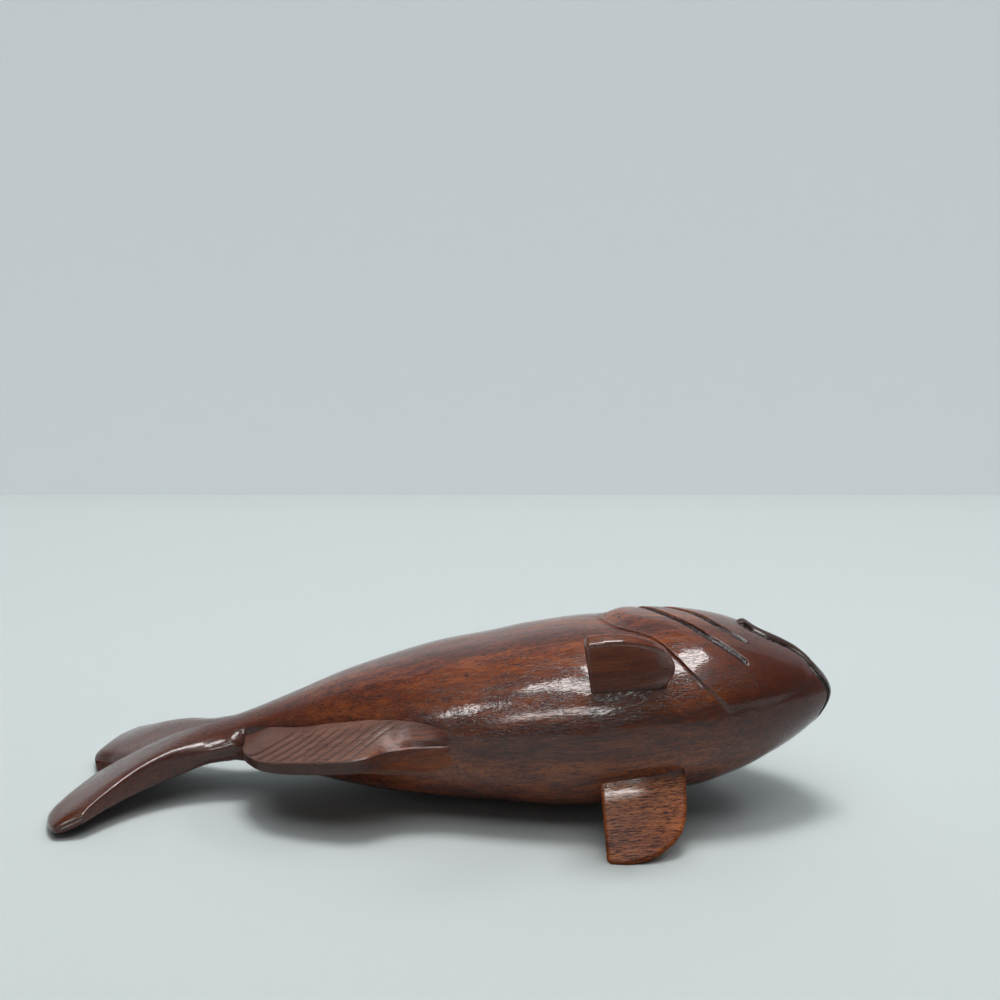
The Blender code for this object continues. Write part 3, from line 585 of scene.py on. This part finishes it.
def roundedPlate(name, outline, settings, place, rays=()):
    # rings shrink from the outline to its middle on both faces, the rim rounded by a quarter circle and
    # each ray cut by depth * exp(-(distance / radius)^2); wedge, cove and camber thin a paddle fin
    path = np.array(outline + outline[:1], float)
    run = runAlong(path)
    at = np.linspace(0.0, run[-1], settings["around"], endpoint=False)
    rim = np.stack([np.interp(at, run, path[:, k]) for k in range(2)], 1)
    for _ in range(plate["softened"]):
        rim = 0.5 * rim + 0.25 * (np.roll(rim, 1, 0) + np.roll(rim, -1, 0))
    middle = rim.mean(0)
    tangent = np.roll(rim, -1, 0) - np.roll(rim, 1, 0)
    inward = np.stack([-tangent[:, 1], tangent[:, 0]], 1) / np.linalg.norm(tangent, axis=1)[:, None]
    if ((middle - rim) * inward).sum() < 0:
        inward = -inward
    bevel, half = settings["bevel"], settings["thickness"] / 2
    turn = np.linspace(0.0, pi / 2, plate["bevelRings"])
    inset = bevel * (1 - np.cos(turn))
    level = half - bevel + bevel * np.sin(turn)
    edgeRings = rim[None] + inward[None] * inset[:, None, None]
    share = np.linspace(0.0, plate["innerEnd"], settings["inward"])[1:]
    inner = edgeRings[-1] + (middle - edgeRings[-1])[None] * share[:, None, None]
    flat = np.concatenate([edgeRings, inner])
    height = np.concatenate([level, np.full(len(share), half)])[:, None] * np.ones(len(rim))
    cut = np.zeros(height.shape)
    for root, tip in rays:
        root, tip = np.array(root), np.array(tip)
        span = tip - root
        s = np.clip(((flat - root) @ span) / (span @ span), 0.0, 1.0)
        near = np.linalg.norm(flat - root - s[..., None] * span, axis=-1)
        cut = np.maximum(cut, np.exp(-(near / settings["rayRadius"]) ** 2))
    height = height - settings.get("rayDepth", 0.0) * cut * (height > half * plate["faceFrom"])
    darkening = np.zeros(height.shape)
    gloss = np.zeros(height.shape)
    if "cove" in settings:
        along, out = flat[..., 0], flat[..., 1]
        start, stop = settings["camberSpan"]
        ahead = (along - start) / (stop - start)
        less = settings["wedge"] * np.clip(1.0 - out / settings["wedgeSpan"], 0.0, 1.0)
        less = less - settings["cove"] * (1.0 - smoothStep(out, *settings["coveSpan"]))
        less = less + settings["camber"] * np.clip(ahead, 0.0, 1.0) ** 2
        height = height * (1.0 - less / half)
        # painted shade: the fin's face darkens toward its root
        darkening = 1.0 - smoothStep(out, *settings["rootShade"])
        gloss = 1.0 - smoothStep(out, *settings["glossOut"])
        gloss = gloss * (1.0 - smoothStep(along, *settings["glossAlong"]))
    upper = np.concatenate([flat, height[..., None]], -1)
    lower = np.concatenate([flat, -height[..., None]], -1)
    points = np.concatenate([upper[::-1], lower])
    marks = {}
    for mark, values in (("cut", cut), ("darkening", darkening), ("gloss", gloss)):
        marks[mark] = np.concatenate([values[::-1], values])
    matrix = np.array(place)
    points = points @ matrix[:3, :3].T + matrix[:3, 3]
    return meshFromGrid(name, points, marks)


pectoralFin = {
    "rootY": 13.1,
    "rootZ": -27.0,
    "tilt": 36.0,
    # distance along the fish, distance out from the root
    "outline": [
        (16.7, -3.0), (16.6, 13.0), (16.5, 22.8), (17.4, 24.5), (22.2, 24.8), (27.3, 24.2), (31.7, 22.6),
        (36.0, 19.8), (38.7, 16.8), (40.4, 12.5),
    ],
    "front": {
        "left": [(41.1, 7.4), (41.4, 1.6), (41.4, -3.0)],
        "right": [(41.3, 8.4), (40.9, 4.4), (38.8, 0.4), (35.2, -3.0)],
    },
    "thickness": 4.0,
    "bevel": 1.1,
    "wedge": 0.7,  # thinner at the root than at the tip
    "wedgeSpan": 25.0,
    "cove": 0.55,  # the faces flare a little right at the root
    "coveSpan": (-1.0, 4.5),
    "camber": 0.8,  # and round off toward the front edge
    "camberSpan": (20.0, 42.0),
    # painted shade along the fin's root, mm out from it
    "rootShade": (-0.5, 2.5),
    "glossOut": (3.0, 7.5),  # the lacquer stays thick only near the root's rear corner
    "glossAlong": (26.0, 32.0),
    "around": 320,
    "inward": 28,
}


def pectoralPlace(side):
    # columns: along the fish, out from the root, across the plate; the root stands half a thickness in
    tilt = radians(pectoralFin["tilt"])
    out = np.array((0.0, cos(tilt) * side, -sin(tilt)))
    across = np.array((0.0, sin(tilt) * side, cos(tilt)))
    root = np.array((0.0, pectoralFin["rootY"] * side, pectoralFin["rootZ"]))
    root = root + across * pectoralFin["thickness"] / 2
    place = np.eye(4)
    place[:3, 1] = out
    place[:3, 2] = np.cross((1.0, 0.0, 0.0), out)
    place[:3, 3] = root
    return place


eye = {
    "x": 63.0,
    "z": 16.2,
    "radius": 3.2,
    "levels": (-3.0, -1.0, 0.1),  # rings of the shank, from its sunk end
    "dome": 0.9,
    "domeFoot": 0.2,
    "domeRings": 15,
    "around": 72,
}


def eyeBead(name, side):
    # a cylinder closed by an elliptic dome, its axis along the skin's normal
    x, z = eye["x"], eye["z"]
    nudge = 0.05
    here, ahead, over = flankPoint([(x, z), (x + nudge, z), (x, z + nudge)], side)
    normal = np.cross(ahead - here, over - here) * -side
    normal /= np.linalg.norm(normal)
    first = np.cross(normal, (0.0, 0.0, 1.0))
    first /= np.linalg.norm(first)
    second = np.cross(normal, first)
    rise = np.linspace(0.0, pi / 2, eye["domeRings"], endpoint=False)
    radius = eye["radius"] * np.concatenate([np.ones(len(eye["levels"])), np.cos(rise)])
    level = np.concatenate([eye["levels"], eye["domeFoot"] + eye["dome"] * np.sin(rise)])
    turn = np.arange(eye["around"]) * 2 * pi / eye["around"]
    ring = np.cos(turn)[:, None] * first + np.sin(turn)[:, None] * second
    points = here + radius[:, None, None] * ring[None] + level[:, None, None] * normal
    return meshFromGrid(name, points, flip=True)


# where the fish lies in the part: turned by the pose, moved so that the first anal dowel meets its node
turnX = np.array(Matrix.Rotation(radians(-90 - pose["roll"]), 3, "X"))
turnY = np.array(Matrix.Rotation(radians(-pose["pitch"]), 3, "Y"))
layTurn = turnY @ turnX
low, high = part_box("anal_dowel_1")
dowelCentre = np.array((pose["dowelX"], 0.0, seatLine(pose["dowelX"])))
layPlace = (np.array(low) + np.array(high)) / 2 - layTurn @ dowelCentre * mm
print("fish origin in the part frame, mm", np.round(layPlace / mm, 2))

body = carvedBody()
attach(body, "root")
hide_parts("body")
print("body", len(body.data.polygons), "faces")

anal = carvedAnalFin()
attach(anal, "root")
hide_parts("anal_fin")
print("anal fin", len(anal.data.polygons), "faces")

upright = np.array(((1.0, 0, 0, 0), (0, 0, -1.0, 0), (0, 1.0, 0, 0), (0, 0, 0, 1.0)))
dorsal = roundedPlate("ribbedDorsalFin", dorsalFin["outline"], dorsalFin, upright, dorsalFin["rays"])
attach(dorsal, "root")
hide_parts("dorsal_fin")

sideParts = []
for side, label in ((1, "left"), (-1, "right")):
    outline = pectoralFin["outline"] + pectoralFin["front"][label]
    paddle = roundedPlate(f"pectoralPaddle{label.title()}", outline, pectoralFin, pectoralPlace(side))
    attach(paddle, "root")
    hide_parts(f"pectoral_fin_{label}")
    sideParts.append(paddle)
    bead = eyeBead(f"eyeBead{label.title()}", side)
    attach(bead, "root")
    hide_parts(f"eye_{label}")
    sideParts.append(bead)
print("fins and eyes made")


def addNode(tree, kind, **settings):
    # a node under or beside the one before it, its properties set by name
    node = tree.nodes.new(kind)
    node.location = 220 * (len(tree.nodes) // 8), -260 * (len(tree.nodes) % 8)
    for name, value in settings.items():
        setattr(node, name, value)
    return node


def feed(tree, socket, value):
    # a number or colour is set on the socket, anything else is linked to it
    if isinstance(value, (int, float)):
        socket.default_value = value
    elif isinstance(value, tuple):
        socket.default_value = (*value, 1.0)
    else:
        tree.links.new(value, socket)


def mathNode(tree, operation, first, second, clamp=False):
    # one sum, product or other operation on two values
    node = addNode(tree, "ShaderNodeMath", operation=operation, use_clamp=clamp)
    for socket, value in zip(node.inputs, (first, second)):
        feed(tree, socket, value)
    return node.outputs[0]


def rangeNode(tree, value, low, high, newLow=0.0, newHigh=1.0):
    # smooth step from newLow at low to newHigh at high
    node = addNode(tree, "ShaderNodeMapRange", interpolation_type="SMOOTHSTEP")
    names = ("Value", "From Min", "From Max", "To Min", "To Max")
    for name, number in zip(names, (value, low, high, newLow, newHigh)):
        feed(tree, node.inputs[name], number)
    return node.outputs["Result"]


def mixColour(tree, share, first, second):
    # first * (1 - share) + second * share
    node = addNode(tree, "ShaderNodeMix", data_type="RGBA")
    for socket, value in ((0, share), (6, first), (7, second)):
        feed(tree, node.inputs[socket], value)
    return node.outputs[2]


def stretchedNoise(tree, vector, lengths, detail, rough):
    # noise whose blobs are lengths mm long on each axis
    mapping = addNode(tree, "ShaderNodeMapping", vector_type="POINT")
    mapping.inputs["Scale"].default_value = tuple(1.0 / v for v in lengths)
    tree.links.new(vector, mapping.inputs["Vector"])
    noise = addNode(tree, "ShaderNodeTexNoise")
    noise.inputs["Scale"].default_value = 1.0
    noise.inputs["Detail"].default_value = detail
    noise.inputs["Roughness"].default_value = rough
    tree.links.new(mapping.outputs[0], noise.inputs["Vector"])
    return noise.outputs["Fac"]


grain = {
    # mm along X, Y and Z, then detail and roughness of the noise
    "ribbon": ((90.0, 12.0, 12.0), 2.0, 0.5),  # broad figure
    "streak": ((14.0, 0.6, 0.6), 3.0, 0.6),  # fine lines
    "mottle": ((12.0, 2.2, 2.2), 3.0, 0.55),  # cloudy patches
    "pore": ((3.0, 0.32, 0.32), 2.0, 0.55),  # dark dashes
    "finePore": ((1.7, 0.20, 0.20), 1.0, 0.5),
    "wave": ((9.0, 5.0, 5.0), 1.0, 0.4),  # hand-sanded surface under the lacquer
    "chip": ((0.9, 0.7, 0.7), 2.0, 0.6),  # torn grain left by the tool in the cuts
    "peel": ((1.5, 0.6, 0.6), 1.0, 0.5),  # the grain telegraphs through the thin lacquer
    "contrast": (0.30, 0.70),  # part of each noise that is spread over 0 to 1
    "shares": (0.40, 0.35, 0.25),  # of ribbon, streak and mottle in the colour
    "deepToMiddle": (0.15, 0.55),
    "middleToGlow": (0.45, 0.85),
    "nose": (42.0, 76.0),  # painted shade toward the head, mm along X
    "noseShadeShare": 0.95,
    # painted shade toward the tail, mm along X
    "rear": (-100.0, -45.0),
    "rearShadeShare": 0.85,
    "poreEdge": 0.625,  # pores open where their noise passes this
    "poreSpread": -0.18,  # plus this times the share of pores
    "poreClouds": 0.05,  # plus this in the bright patches
    "poreSoft": 0.09,
    "fineShare": 0.8,
    "ink": 0.95,
    "darkeningRed": 0.25,  # share of the deep colour in the darkening mark's colour
    "waveHeight": 0.14,
    "poreHeight": 0.020,
    "peelHeight": 0.032,
    "chipHeight": 0.45,
}


def woodGroup():
    # colour with its painted shade, pore mask and height of straight-grained open-pored wood running
    # along X
    group = bpy.data.node_groups.new("straightGrain", "ShaderNodeTree")
    sockets = (
        ("INPUT", "Vector", ("Place",)),
        ("INPUT", "Color", ("Glow", "Middle", "Deep", "Pore")),
        ("INPUT", "Float", ("Pore Share", "Pore Depth", "Cut", "Cut Shade", "Darkening")),
        ("OUTPUT", "Color", ("Colour",)),
        ("OUTPUT", "Float", ("Pores", "Height")),
    )
    for way, kind, names in sockets:
        for name in names:
            group.interface.new_socket(name=name, in_out=way, socket_type="NodeSocket" + kind)
    times, plus = partial(mathNode, group, "MULTIPLY"), partial(mathNode, group, "ADD")
    mix, ramp = partial(mixColour, group), partial(rangeNode, group)
    source = addNode(group, "NodeGroupInput")
    target = addNode(group, "NodeGroupOutput")
    place = source.outputs["Place"]
    noise = {}
    kinds = ("ribbon", "streak", "mottle", "pore", "finePore", "wave", "chip", "peel")
    for name in kinds:
        noise[name] = stretchedNoise(group, place, *grain[name])

    # warm runs 0 in the deep red bands to 1 in the glowing ones
    spread = []
    for name, share in zip(kinds, grain["shares"]):
        band = ramp(noise[name], *grain["contrast"])
        spread.append((band, times(band, share)))
    clouds = spread[2][0]
    warm = plus(spread[0][1], spread[1][1])
    warm = plus(warm, spread[2][1], True)
    low = ramp(warm, *grain["deepToMiddle"])
    high = ramp(warm, *grain["middleToGlow"])
    deep, ink = source.outputs["Deep"], source.outputs["Pore"]
    colour = mix(low, deep, source.outputs["Middle"])
    colour = mix(high, colour, source.outputs["Glow"])

    # painted shade: darker toward both ends
    axes = addNode(group, "ShaderNodeSeparateXYZ")
    group.links.new(place, axes.inputs[0])
    nose = ramp(axes.outputs["X"], *grain["nose"], 0.0, grain["noseShadeShare"])
    rear = ramp(axes.outputs["X"], *grain["rear"], grain["rearShadeShare"], 0.0)
    endShade = mathNode(group, "MAXIMUM", nose, rear)
    colour = mix(endShade, colour, deep)

    # pores open where their noise passes an edge, more of them in the dark bands
    edge = times(source.outputs["Pore Share"], grain["poreSpread"])
    cloudy = times(clouds, grain["poreClouds"])
    edge = plus(edge, cloudy)
    edge = plus(edge, grain["poreEdge"])
    soft = plus(edge, grain["poreSoft"])
    dash = ramp(noise["pore"], edge, soft)
    speck = ramp(noise["finePore"], edge, soft, 0.0, grain["fineShare"])
    pores = mathNode(group, "MAXIMUM", dash, speck)
    inked = times(pores, grain["ink"])
    colour = mix(inked, colour, ink)
    # painted shade at the fins' roots and the anal fin's rim, and the darker lip band, all from the
    # darkening mark
    darkenedTone = mix(grain["darkeningRed"], ink, deep)
    colour = mix(source.outputs["Darkening"], colour, darkenedTone)
    # painted shade: cuts turn toward the pore colour with their depth
    cut = times(source.outputs["Cut"], source.outputs["Cut Shade"], True)
    colour = mix(cut, colour, ink)

    # height: the sanded waves and the grain, less the pores, plus the torn grain in the cuts
    rolled = times(noise["wave"], grain["waveHeight"])
    grained = times(noise["peel"], grain["peelHeight"])
    level = plus(rolled, grained)
    sunk = times(pores, source.outputs["Pore Depth"])
    sunk = times(sunk, grain["poreHeight"])
    level = mathNode(group, "SUBTRACT", level, sunk)
    torn = times(noise["chip"], source.outputs["Cut"])
    torn = times(torn, grain["chipHeight"])
    level = plus(level, torn)
    for name, value in (("Colour", colour), ("Pores", pores), ("Height", level)):
        group.links.new(value, target.inputs[name])
    return group


def fishPlace(tree):
    # object coordinates turned back into the fish's own frame, in millimetres
    coordinates = addNode(tree, "ShaderNodeTexCoord")
    mapping = addNode(tree, "ShaderNodeMapping", vector_type="POINT")
    back = Matrix(layTurn.T.tolist())
    mapping.inputs["Scale"].default_value = (1 / mm, 1 / mm, 1 / mm)
    mapping.inputs["Rotation"].default_value = tuple(back.to_euler("XYZ"))
    mapping.inputs["Location"].default_value = tuple(-(layTurn.T @ layPlace) / mm)
    tree.links.new(coordinates.outputs["Object"], mapping.inputs["Vector"])
    return mapping.outputs[0]


def readMark(tree, name):
    # a mark that was made with the mesh, from 0 to 1
    return addNode(tree, "ShaderNodeAttribute", attribute_name=name).outputs["Fac"]


def woodMaterial(name, look, carved=True, ahead=None):
    # straight grain under a lacquer coat; where the mark "plain" is 1 it turns into the look ahead
    made = bpy.data.materials.new(name)
    made.use_nodes = True
    tree = made.node_tree
    shader = tree.nodes["Principled BSDF"]
    wood = addNode(tree, "ShaderNodeGroup", node_tree=straightGrain)
    tree.links.new(fishPlace(tree), wood.inputs["Place"])
    for socket in ("Glow", "Middle", "Deep", "Pore"):
        wood.inputs[socket].default_value = (*look[socket], 1.0)
    for socket in ("Pore Share", "Pore Depth", "Cut Shade"):
        wood.inputs[socket].default_value = look[socket]
    if carved:
        for mark, socket in (("cut", "Cut"), ("darkening", "Darkening")):
            tree.links.new(readMark(tree, mark), wood.inputs[socket])
    for socket in ("Coat Weight", "Coat Roughness", "Coat IOR", "Specular IOR Level"):
        shader.inputs[socket].default_value = look[socket]
    if "worn" in look:
        mark = readMark(tree, "gloss")
        coat = rangeNode(tree, mark, 0.0, 1.0, look["worn"], look["Coat Weight"])
        tree.links.new(coat, shader.inputs["Coat Weight"])
    if ahead:
        mark = readMark(tree, "plain")
        for socket in ("Glow", "Middle", "Deep"):
            blend = mixColour(tree, mark, look[socket], ahead[socket])
            tree.links.new(blend, wood.inputs[socket])
    tree.links.new(wood.outputs["Colour"], shader.inputs["Base Color"])
    pores = wood.outputs["Pores"]
    rough = rangeNode(tree, pores, 0.0, 1.0, look["rough"], look["poreRough"])
    tree.links.new(rough, shader.inputs["Roughness"])
    bump = addNode(tree, "ShaderNodeBump")
    bump.inputs["Strength"].default_value = look["bump"]
    bump.inputs["Distance"].default_value = mm
    tree.links.new(wood.outputs["Height"], bump.inputs["Height"])
    for socket in ("Normal", "Coat Normal"):
        tree.links.new(bump.outputs["Normal"], shader.inputs[socket])
    return made


straightGrain = woodGroup()

lacquered = {
    "Glow": (0.285, 0.068, 0.0125),
    "Middle": (0.165, 0.032, 0.0075),
    "Deep": (0.075, 0.013, 0.0045),
    "Pore": (0.016, 0.004, 0.003),
    "Pore Share": 0.5,
    "Pore Depth": 1.0,
    "Cut Shade": 1.0,
    "rough": 0.45,
    "poreRough": 0.6,
    "Coat Weight": 1.0,
    "Coat Roughness": 0.07,
    "Coat IOR": 1.5,
    "Specular IOR Level": 0.1,
    "bump": 1.0,
}
finWood = lacquered | {
    "Glow": (0.23, 0.105, 0.070), "Middle": (0.175, 0.077, 0.054), "Deep": (0.11, 0.045, 0.032),
    "Pore Share": 0.25, "Cut Shade": 0.75, "rough": 0.5, "Coat Weight": 0.5, "Coat Roughness": 0.33,
}
# painted shade: a darker, duller copy of the lacquered wood for the right pectoral fin, which lies in
# shade
paintedShadeWood = lacquered | {
    "Glow": (0.20, 0.058, 0.028), "Middle": (0.15, 0.040, 0.021), "Deep": (0.10, 0.026, 0.015),
    "Pore Share": 0.2,
}
# painted light: a brighter, more orange copy of the lacquered wood for the left pectoral fin, as if lit
# from above
paintedLightWood = lacquered | {
    "Glow": (0.52, 0.150, 0.028), "Middle": (0.34, 0.082, 0.017), "Deep": (0.19, 0.036, 0.009),
    "Pore Share": 0.6, "bump": 0.9,
    "worn": 0.04,  # coat left where the mark "gloss" is 0
}
pegWood = lacquered | {
    "Glow": (0.66, 0.48, 0.30), "Middle": (0.58, 0.41, 0.25), "Deep": (0.50, 0.34, 0.20),
    "Pore": (0.32, 0.20, 0.11), "Coat Weight": 0.0, "rough": 0.6,
}

bodyLook = woodMaterial("lacqueredMahogany", lacquered)
finLook = woodMaterial("satinMahogany", finWood, ahead=lacquered)
paintedLightLook = woodMaterial("mahoganyPaintedLight", paintedLightWood)
paintedShadeLook = woodMaterial("mahoganyPaintedShade", paintedShadeWood)
dowelLook = woodMaterial("birchPeg", pegWood, False)

polished = {
    "tints": ((0.010, 0.008, 0.008), (0.022, 0.016, 0.014)),
    "blobs": (0.8, 0.8, 0.8),
    "gloss": {"Roughness": 0.12, "Coat Weight": 1.0, "Coat Roughness": 0.04},
}
beadLook = bpy.data.materials.new("polishedBead")
beadLook.use_nodes = True
beadTree = beadLook.node_tree
beadShader = beadTree.nodes["Principled BSDF"]
beadNoise = stretchedNoise(beadTree, fishPlace(beadTree), polished["blobs"], 3.0, 0.5)
beadTint = mixColour(beadTree, beadNoise, *polished["tints"])
beadTree.links.new(beadTint, beadShader.inputs["Base Color"])
for socket, value in polished["gloss"].items():
    beadShader.inputs[socket].default_value = value

for piece, finish in ((body, bodyLook), (anal, finLook), (dorsal, bodyLook)):
    piece.data.materials.append(finish)
for piece in sideParts:
    # the right pectoral fin takes the painted-shade copy of the wood, the left one the painted-light copy
    finish = paintedShadeLook if piece.name.endswith("Right") else paintedLightLook
    piece.data.materials.append(beadLook if "Bead" in piece.name else finish)
for node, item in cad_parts.items():
    if "dowel" in node:
        item.data.materials.clear()
        item.data.materials.append(dowelLook)
print("materials made")

view = {
    "lens": 54.0,  # mm
    "sensor": 36.0,  # mm
    "clip": (0.01, 20.0),  # metres
    "down": 18.06,  # degrees below level
    "turn": 2.0,  # degrees round the fish
    "distance": 0.46154,  # metres from the lens to the fish's origin, along the view
    "pixel": (540.0, 709.22),
    "image": 1000.0,
}

turn = Matrix.Rotation(radians(view["turn"]), 3, "Z")
down = radians(view["down"])
ahead = turn @ Vector((0.0, cos(down), -sin(down)))
right = turn @ Vector((1.0, 0.0, 0.0))
up = right.cross(ahead)
focal = view["lens"] / view["sensor"] * view["image"]
shiftRight = (view["pixel"][0] - view["image"] / 2) / focal
shiftDown = (view["pixel"][1] - view["image"] / 2) / focal
eyePoint = Vector(layPlace) - (ahead + right * shiftRight - up * shiftDown) * view["distance"]
camera = bpy.data.objects.new("photoCamera", bpy.data.cameras.new("photoCamera"))
camera.data.lens = view["lens"]
camera.data.sensor_width = view["sensor"]
camera.data.clip_start, camera.data.clip_end = view["clip"]
camera.matrix_world = Matrix.Translation(eyePoint) @ Matrix((right, up, -ahead)).transposed().to_4x4()
bpy.context.scene.collection.objects.link(camera)
bpy.context.scene.camera = camera
print("camera placed")

studio = {
    "floorColour": (0.530, 0.580, 0.585),
    "backdropColour": (0.20, 0.21, 0.22),
    "backdropGlow": (0.445, 0.487, 0.50),
    "floorFront": -0.27,  # metres, the near edge, out of the picture
    "floorHalf": 0.6,
    "behind": 0.2995,  # metres from the fish's origin to the backdrop, away from the camera
    "backdropHalf": 1.5,
    "backdropHeight": 0.7,
    "rough": 0.9,
    "specular": 0.1,
    "lampColour": (1.0, 0.99, 0.98),
    "roomColour": (0.84, 0.90, 0.94),
    "roomStrength": 0.05,
}


def plainSheet(name, half, near, far, colour, glow=(0.0, 0.0, 0.0), oneSided=False):
    # a rectangle turned with the camera, reaching half to each side of the fish; its near and far edges
    # are given as metres behind the fish and up from the floor
    level = Vector((ahead.x, ahead.y, 0.0)).normalized()
    base = Vector((layPlace[0], layPlace[1], 0.0))
    corners = ((-half, *near), (half, *near), (half, *far), (-half, *far))
    points = [base + right * x + level * y + Vector((0.0, 0.0, z)) for x, y, z in corners]
    mesh = bpy.data.meshes.new(name)
    mesh.from_pydata(points, [], [(0, 1, 2, 3)])
    sheet = bpy.data.objects.new(name, mesh)
    bpy.context.scene.collection.objects.link(sheet)
    look = bpy.data.materials.new(name)
    look.use_nodes = True
    tree = look.node_tree
    shader = tree.nodes["Principled BSDF"]
    for socket, value in (("Base Color", (*colour, 1.0)), ("Roughness", studio["rough"]),
                          ("Specular IOR Level", studio["specular"]), ("Emission Color", (*glow, 1.0)),
                          ("Emission Strength", 1.0)):
        shader.inputs[socket].default_value = value
    if oneSided:
        # seen from behind it is clear, so it never hides the fish
        facing = addNode(tree, "ShaderNodeNewGeometry")
        clear = addNode(tree, "ShaderNodeBsdfTransparent")
        blend = addNode(tree, "ShaderNodeMixShader")
        tree.links.new(facing.outputs["Backfacing"], blend.inputs[0])
        tree.links.new(shader.outputs[0], blend.inputs[1])
        tree.links.new(clear.outputs[0], blend.inputs[2])
        tree.links.new(blend.outputs[0], tree.nodes["Material Output"].inputs["Surface"])
    mesh.materials.append(look)


behind = studio["behind"]
plainSheet("paleFloor", studio["floorHalf"], (studio["floorFront"], 0.0), (behind, 0.0),
           studio["floorColour"])
plainSheet("paleBackdrop", studio["backdropHalf"], (behind, 0.0), (behind, studio["backdropHeight"]),
           studio["backdropColour"], studio["backdropGlow"], True)


def areaLight(name, azimuth, elevation, distance, width, height, power, roll):
    # azimuth from the camera toward the left and elevation, in degrees; distance and size in metres;
    # the lamp faces the fish, rolled about its axis
    a, e = radians(-90.0 - azimuth + view["turn"]), radians(elevation)
    towards = Vector((cos(e) * cos(a), cos(e) * sin(a), sin(e)))
    lamp = bpy.data.objects.new(name, bpy.data.lights.new(name, "AREA"))
    lamp.data.shape = "RECTANGLE"
    lamp.data.size, lamp.data.size_y, lamp.data.energy = width, height, power
    lamp.data.color = studio["lampColour"]
    lamp.location = Vector(layPlace) + towards * distance
    facing = towards.to_track_quat("Z", "Y").to_matrix()
    lamp.rotation_euler = (facing @ Matrix.Rotation(radians(roll), 3, "Z")).to_euler()
    bpy.context.scene.collection.objects.link(lamp)
    return lamp


lights = {
    # azimuth, elevation, distance, width, height, watts, roll
    "paneUpper": (18.0, 51.0, 1.6, 0.62, 0.32, 9.6, -26.0),
    "paneLower": (11.0, 17.0, 1.6, 0.60, 0.22, 4.4, 0.0),
    "paneSide": (32.0, 29.0, 1.6, 0.11, 0.34, 2.0, 0.0),
    "paneRight": (-14.0, 72.0, 1.6, 0.70, 0.66, 27.0, 0.0),
    "overhead": (180.0, 83.0, 1.5, 0.5, 0.30, 12.5, 0.0),
    "sideLamp": (-112.0, 47.0, 1.5, 0.35, 0.35, 3.4, 0.0),
    "ceiling": (0.0, 86.0, 1.5, 1.9, 1.3, 12.8, 0.0),
}
for name, values in lights.items():
    light = areaLight(name, *values)
    # a pane shows only in the lacquer, every other lamp only lights the scene
    light.visible_diffuse = not name.startswith("pane")
    light.visible_glossy = name.startswith("pane")

world = bpy.data.worlds.new("softRoom")
bpy.context.scene.world = world
world.use_nodes = True
background = world.node_tree.nodes["Background"]
background.inputs[0].default_value = (*studio["roomColour"], 1.0)
background.inputs[1].default_value = studio["roomStrength"]
bpy.context.scene.view_settings.view_transform = "Standard"
print("studio and lights made")
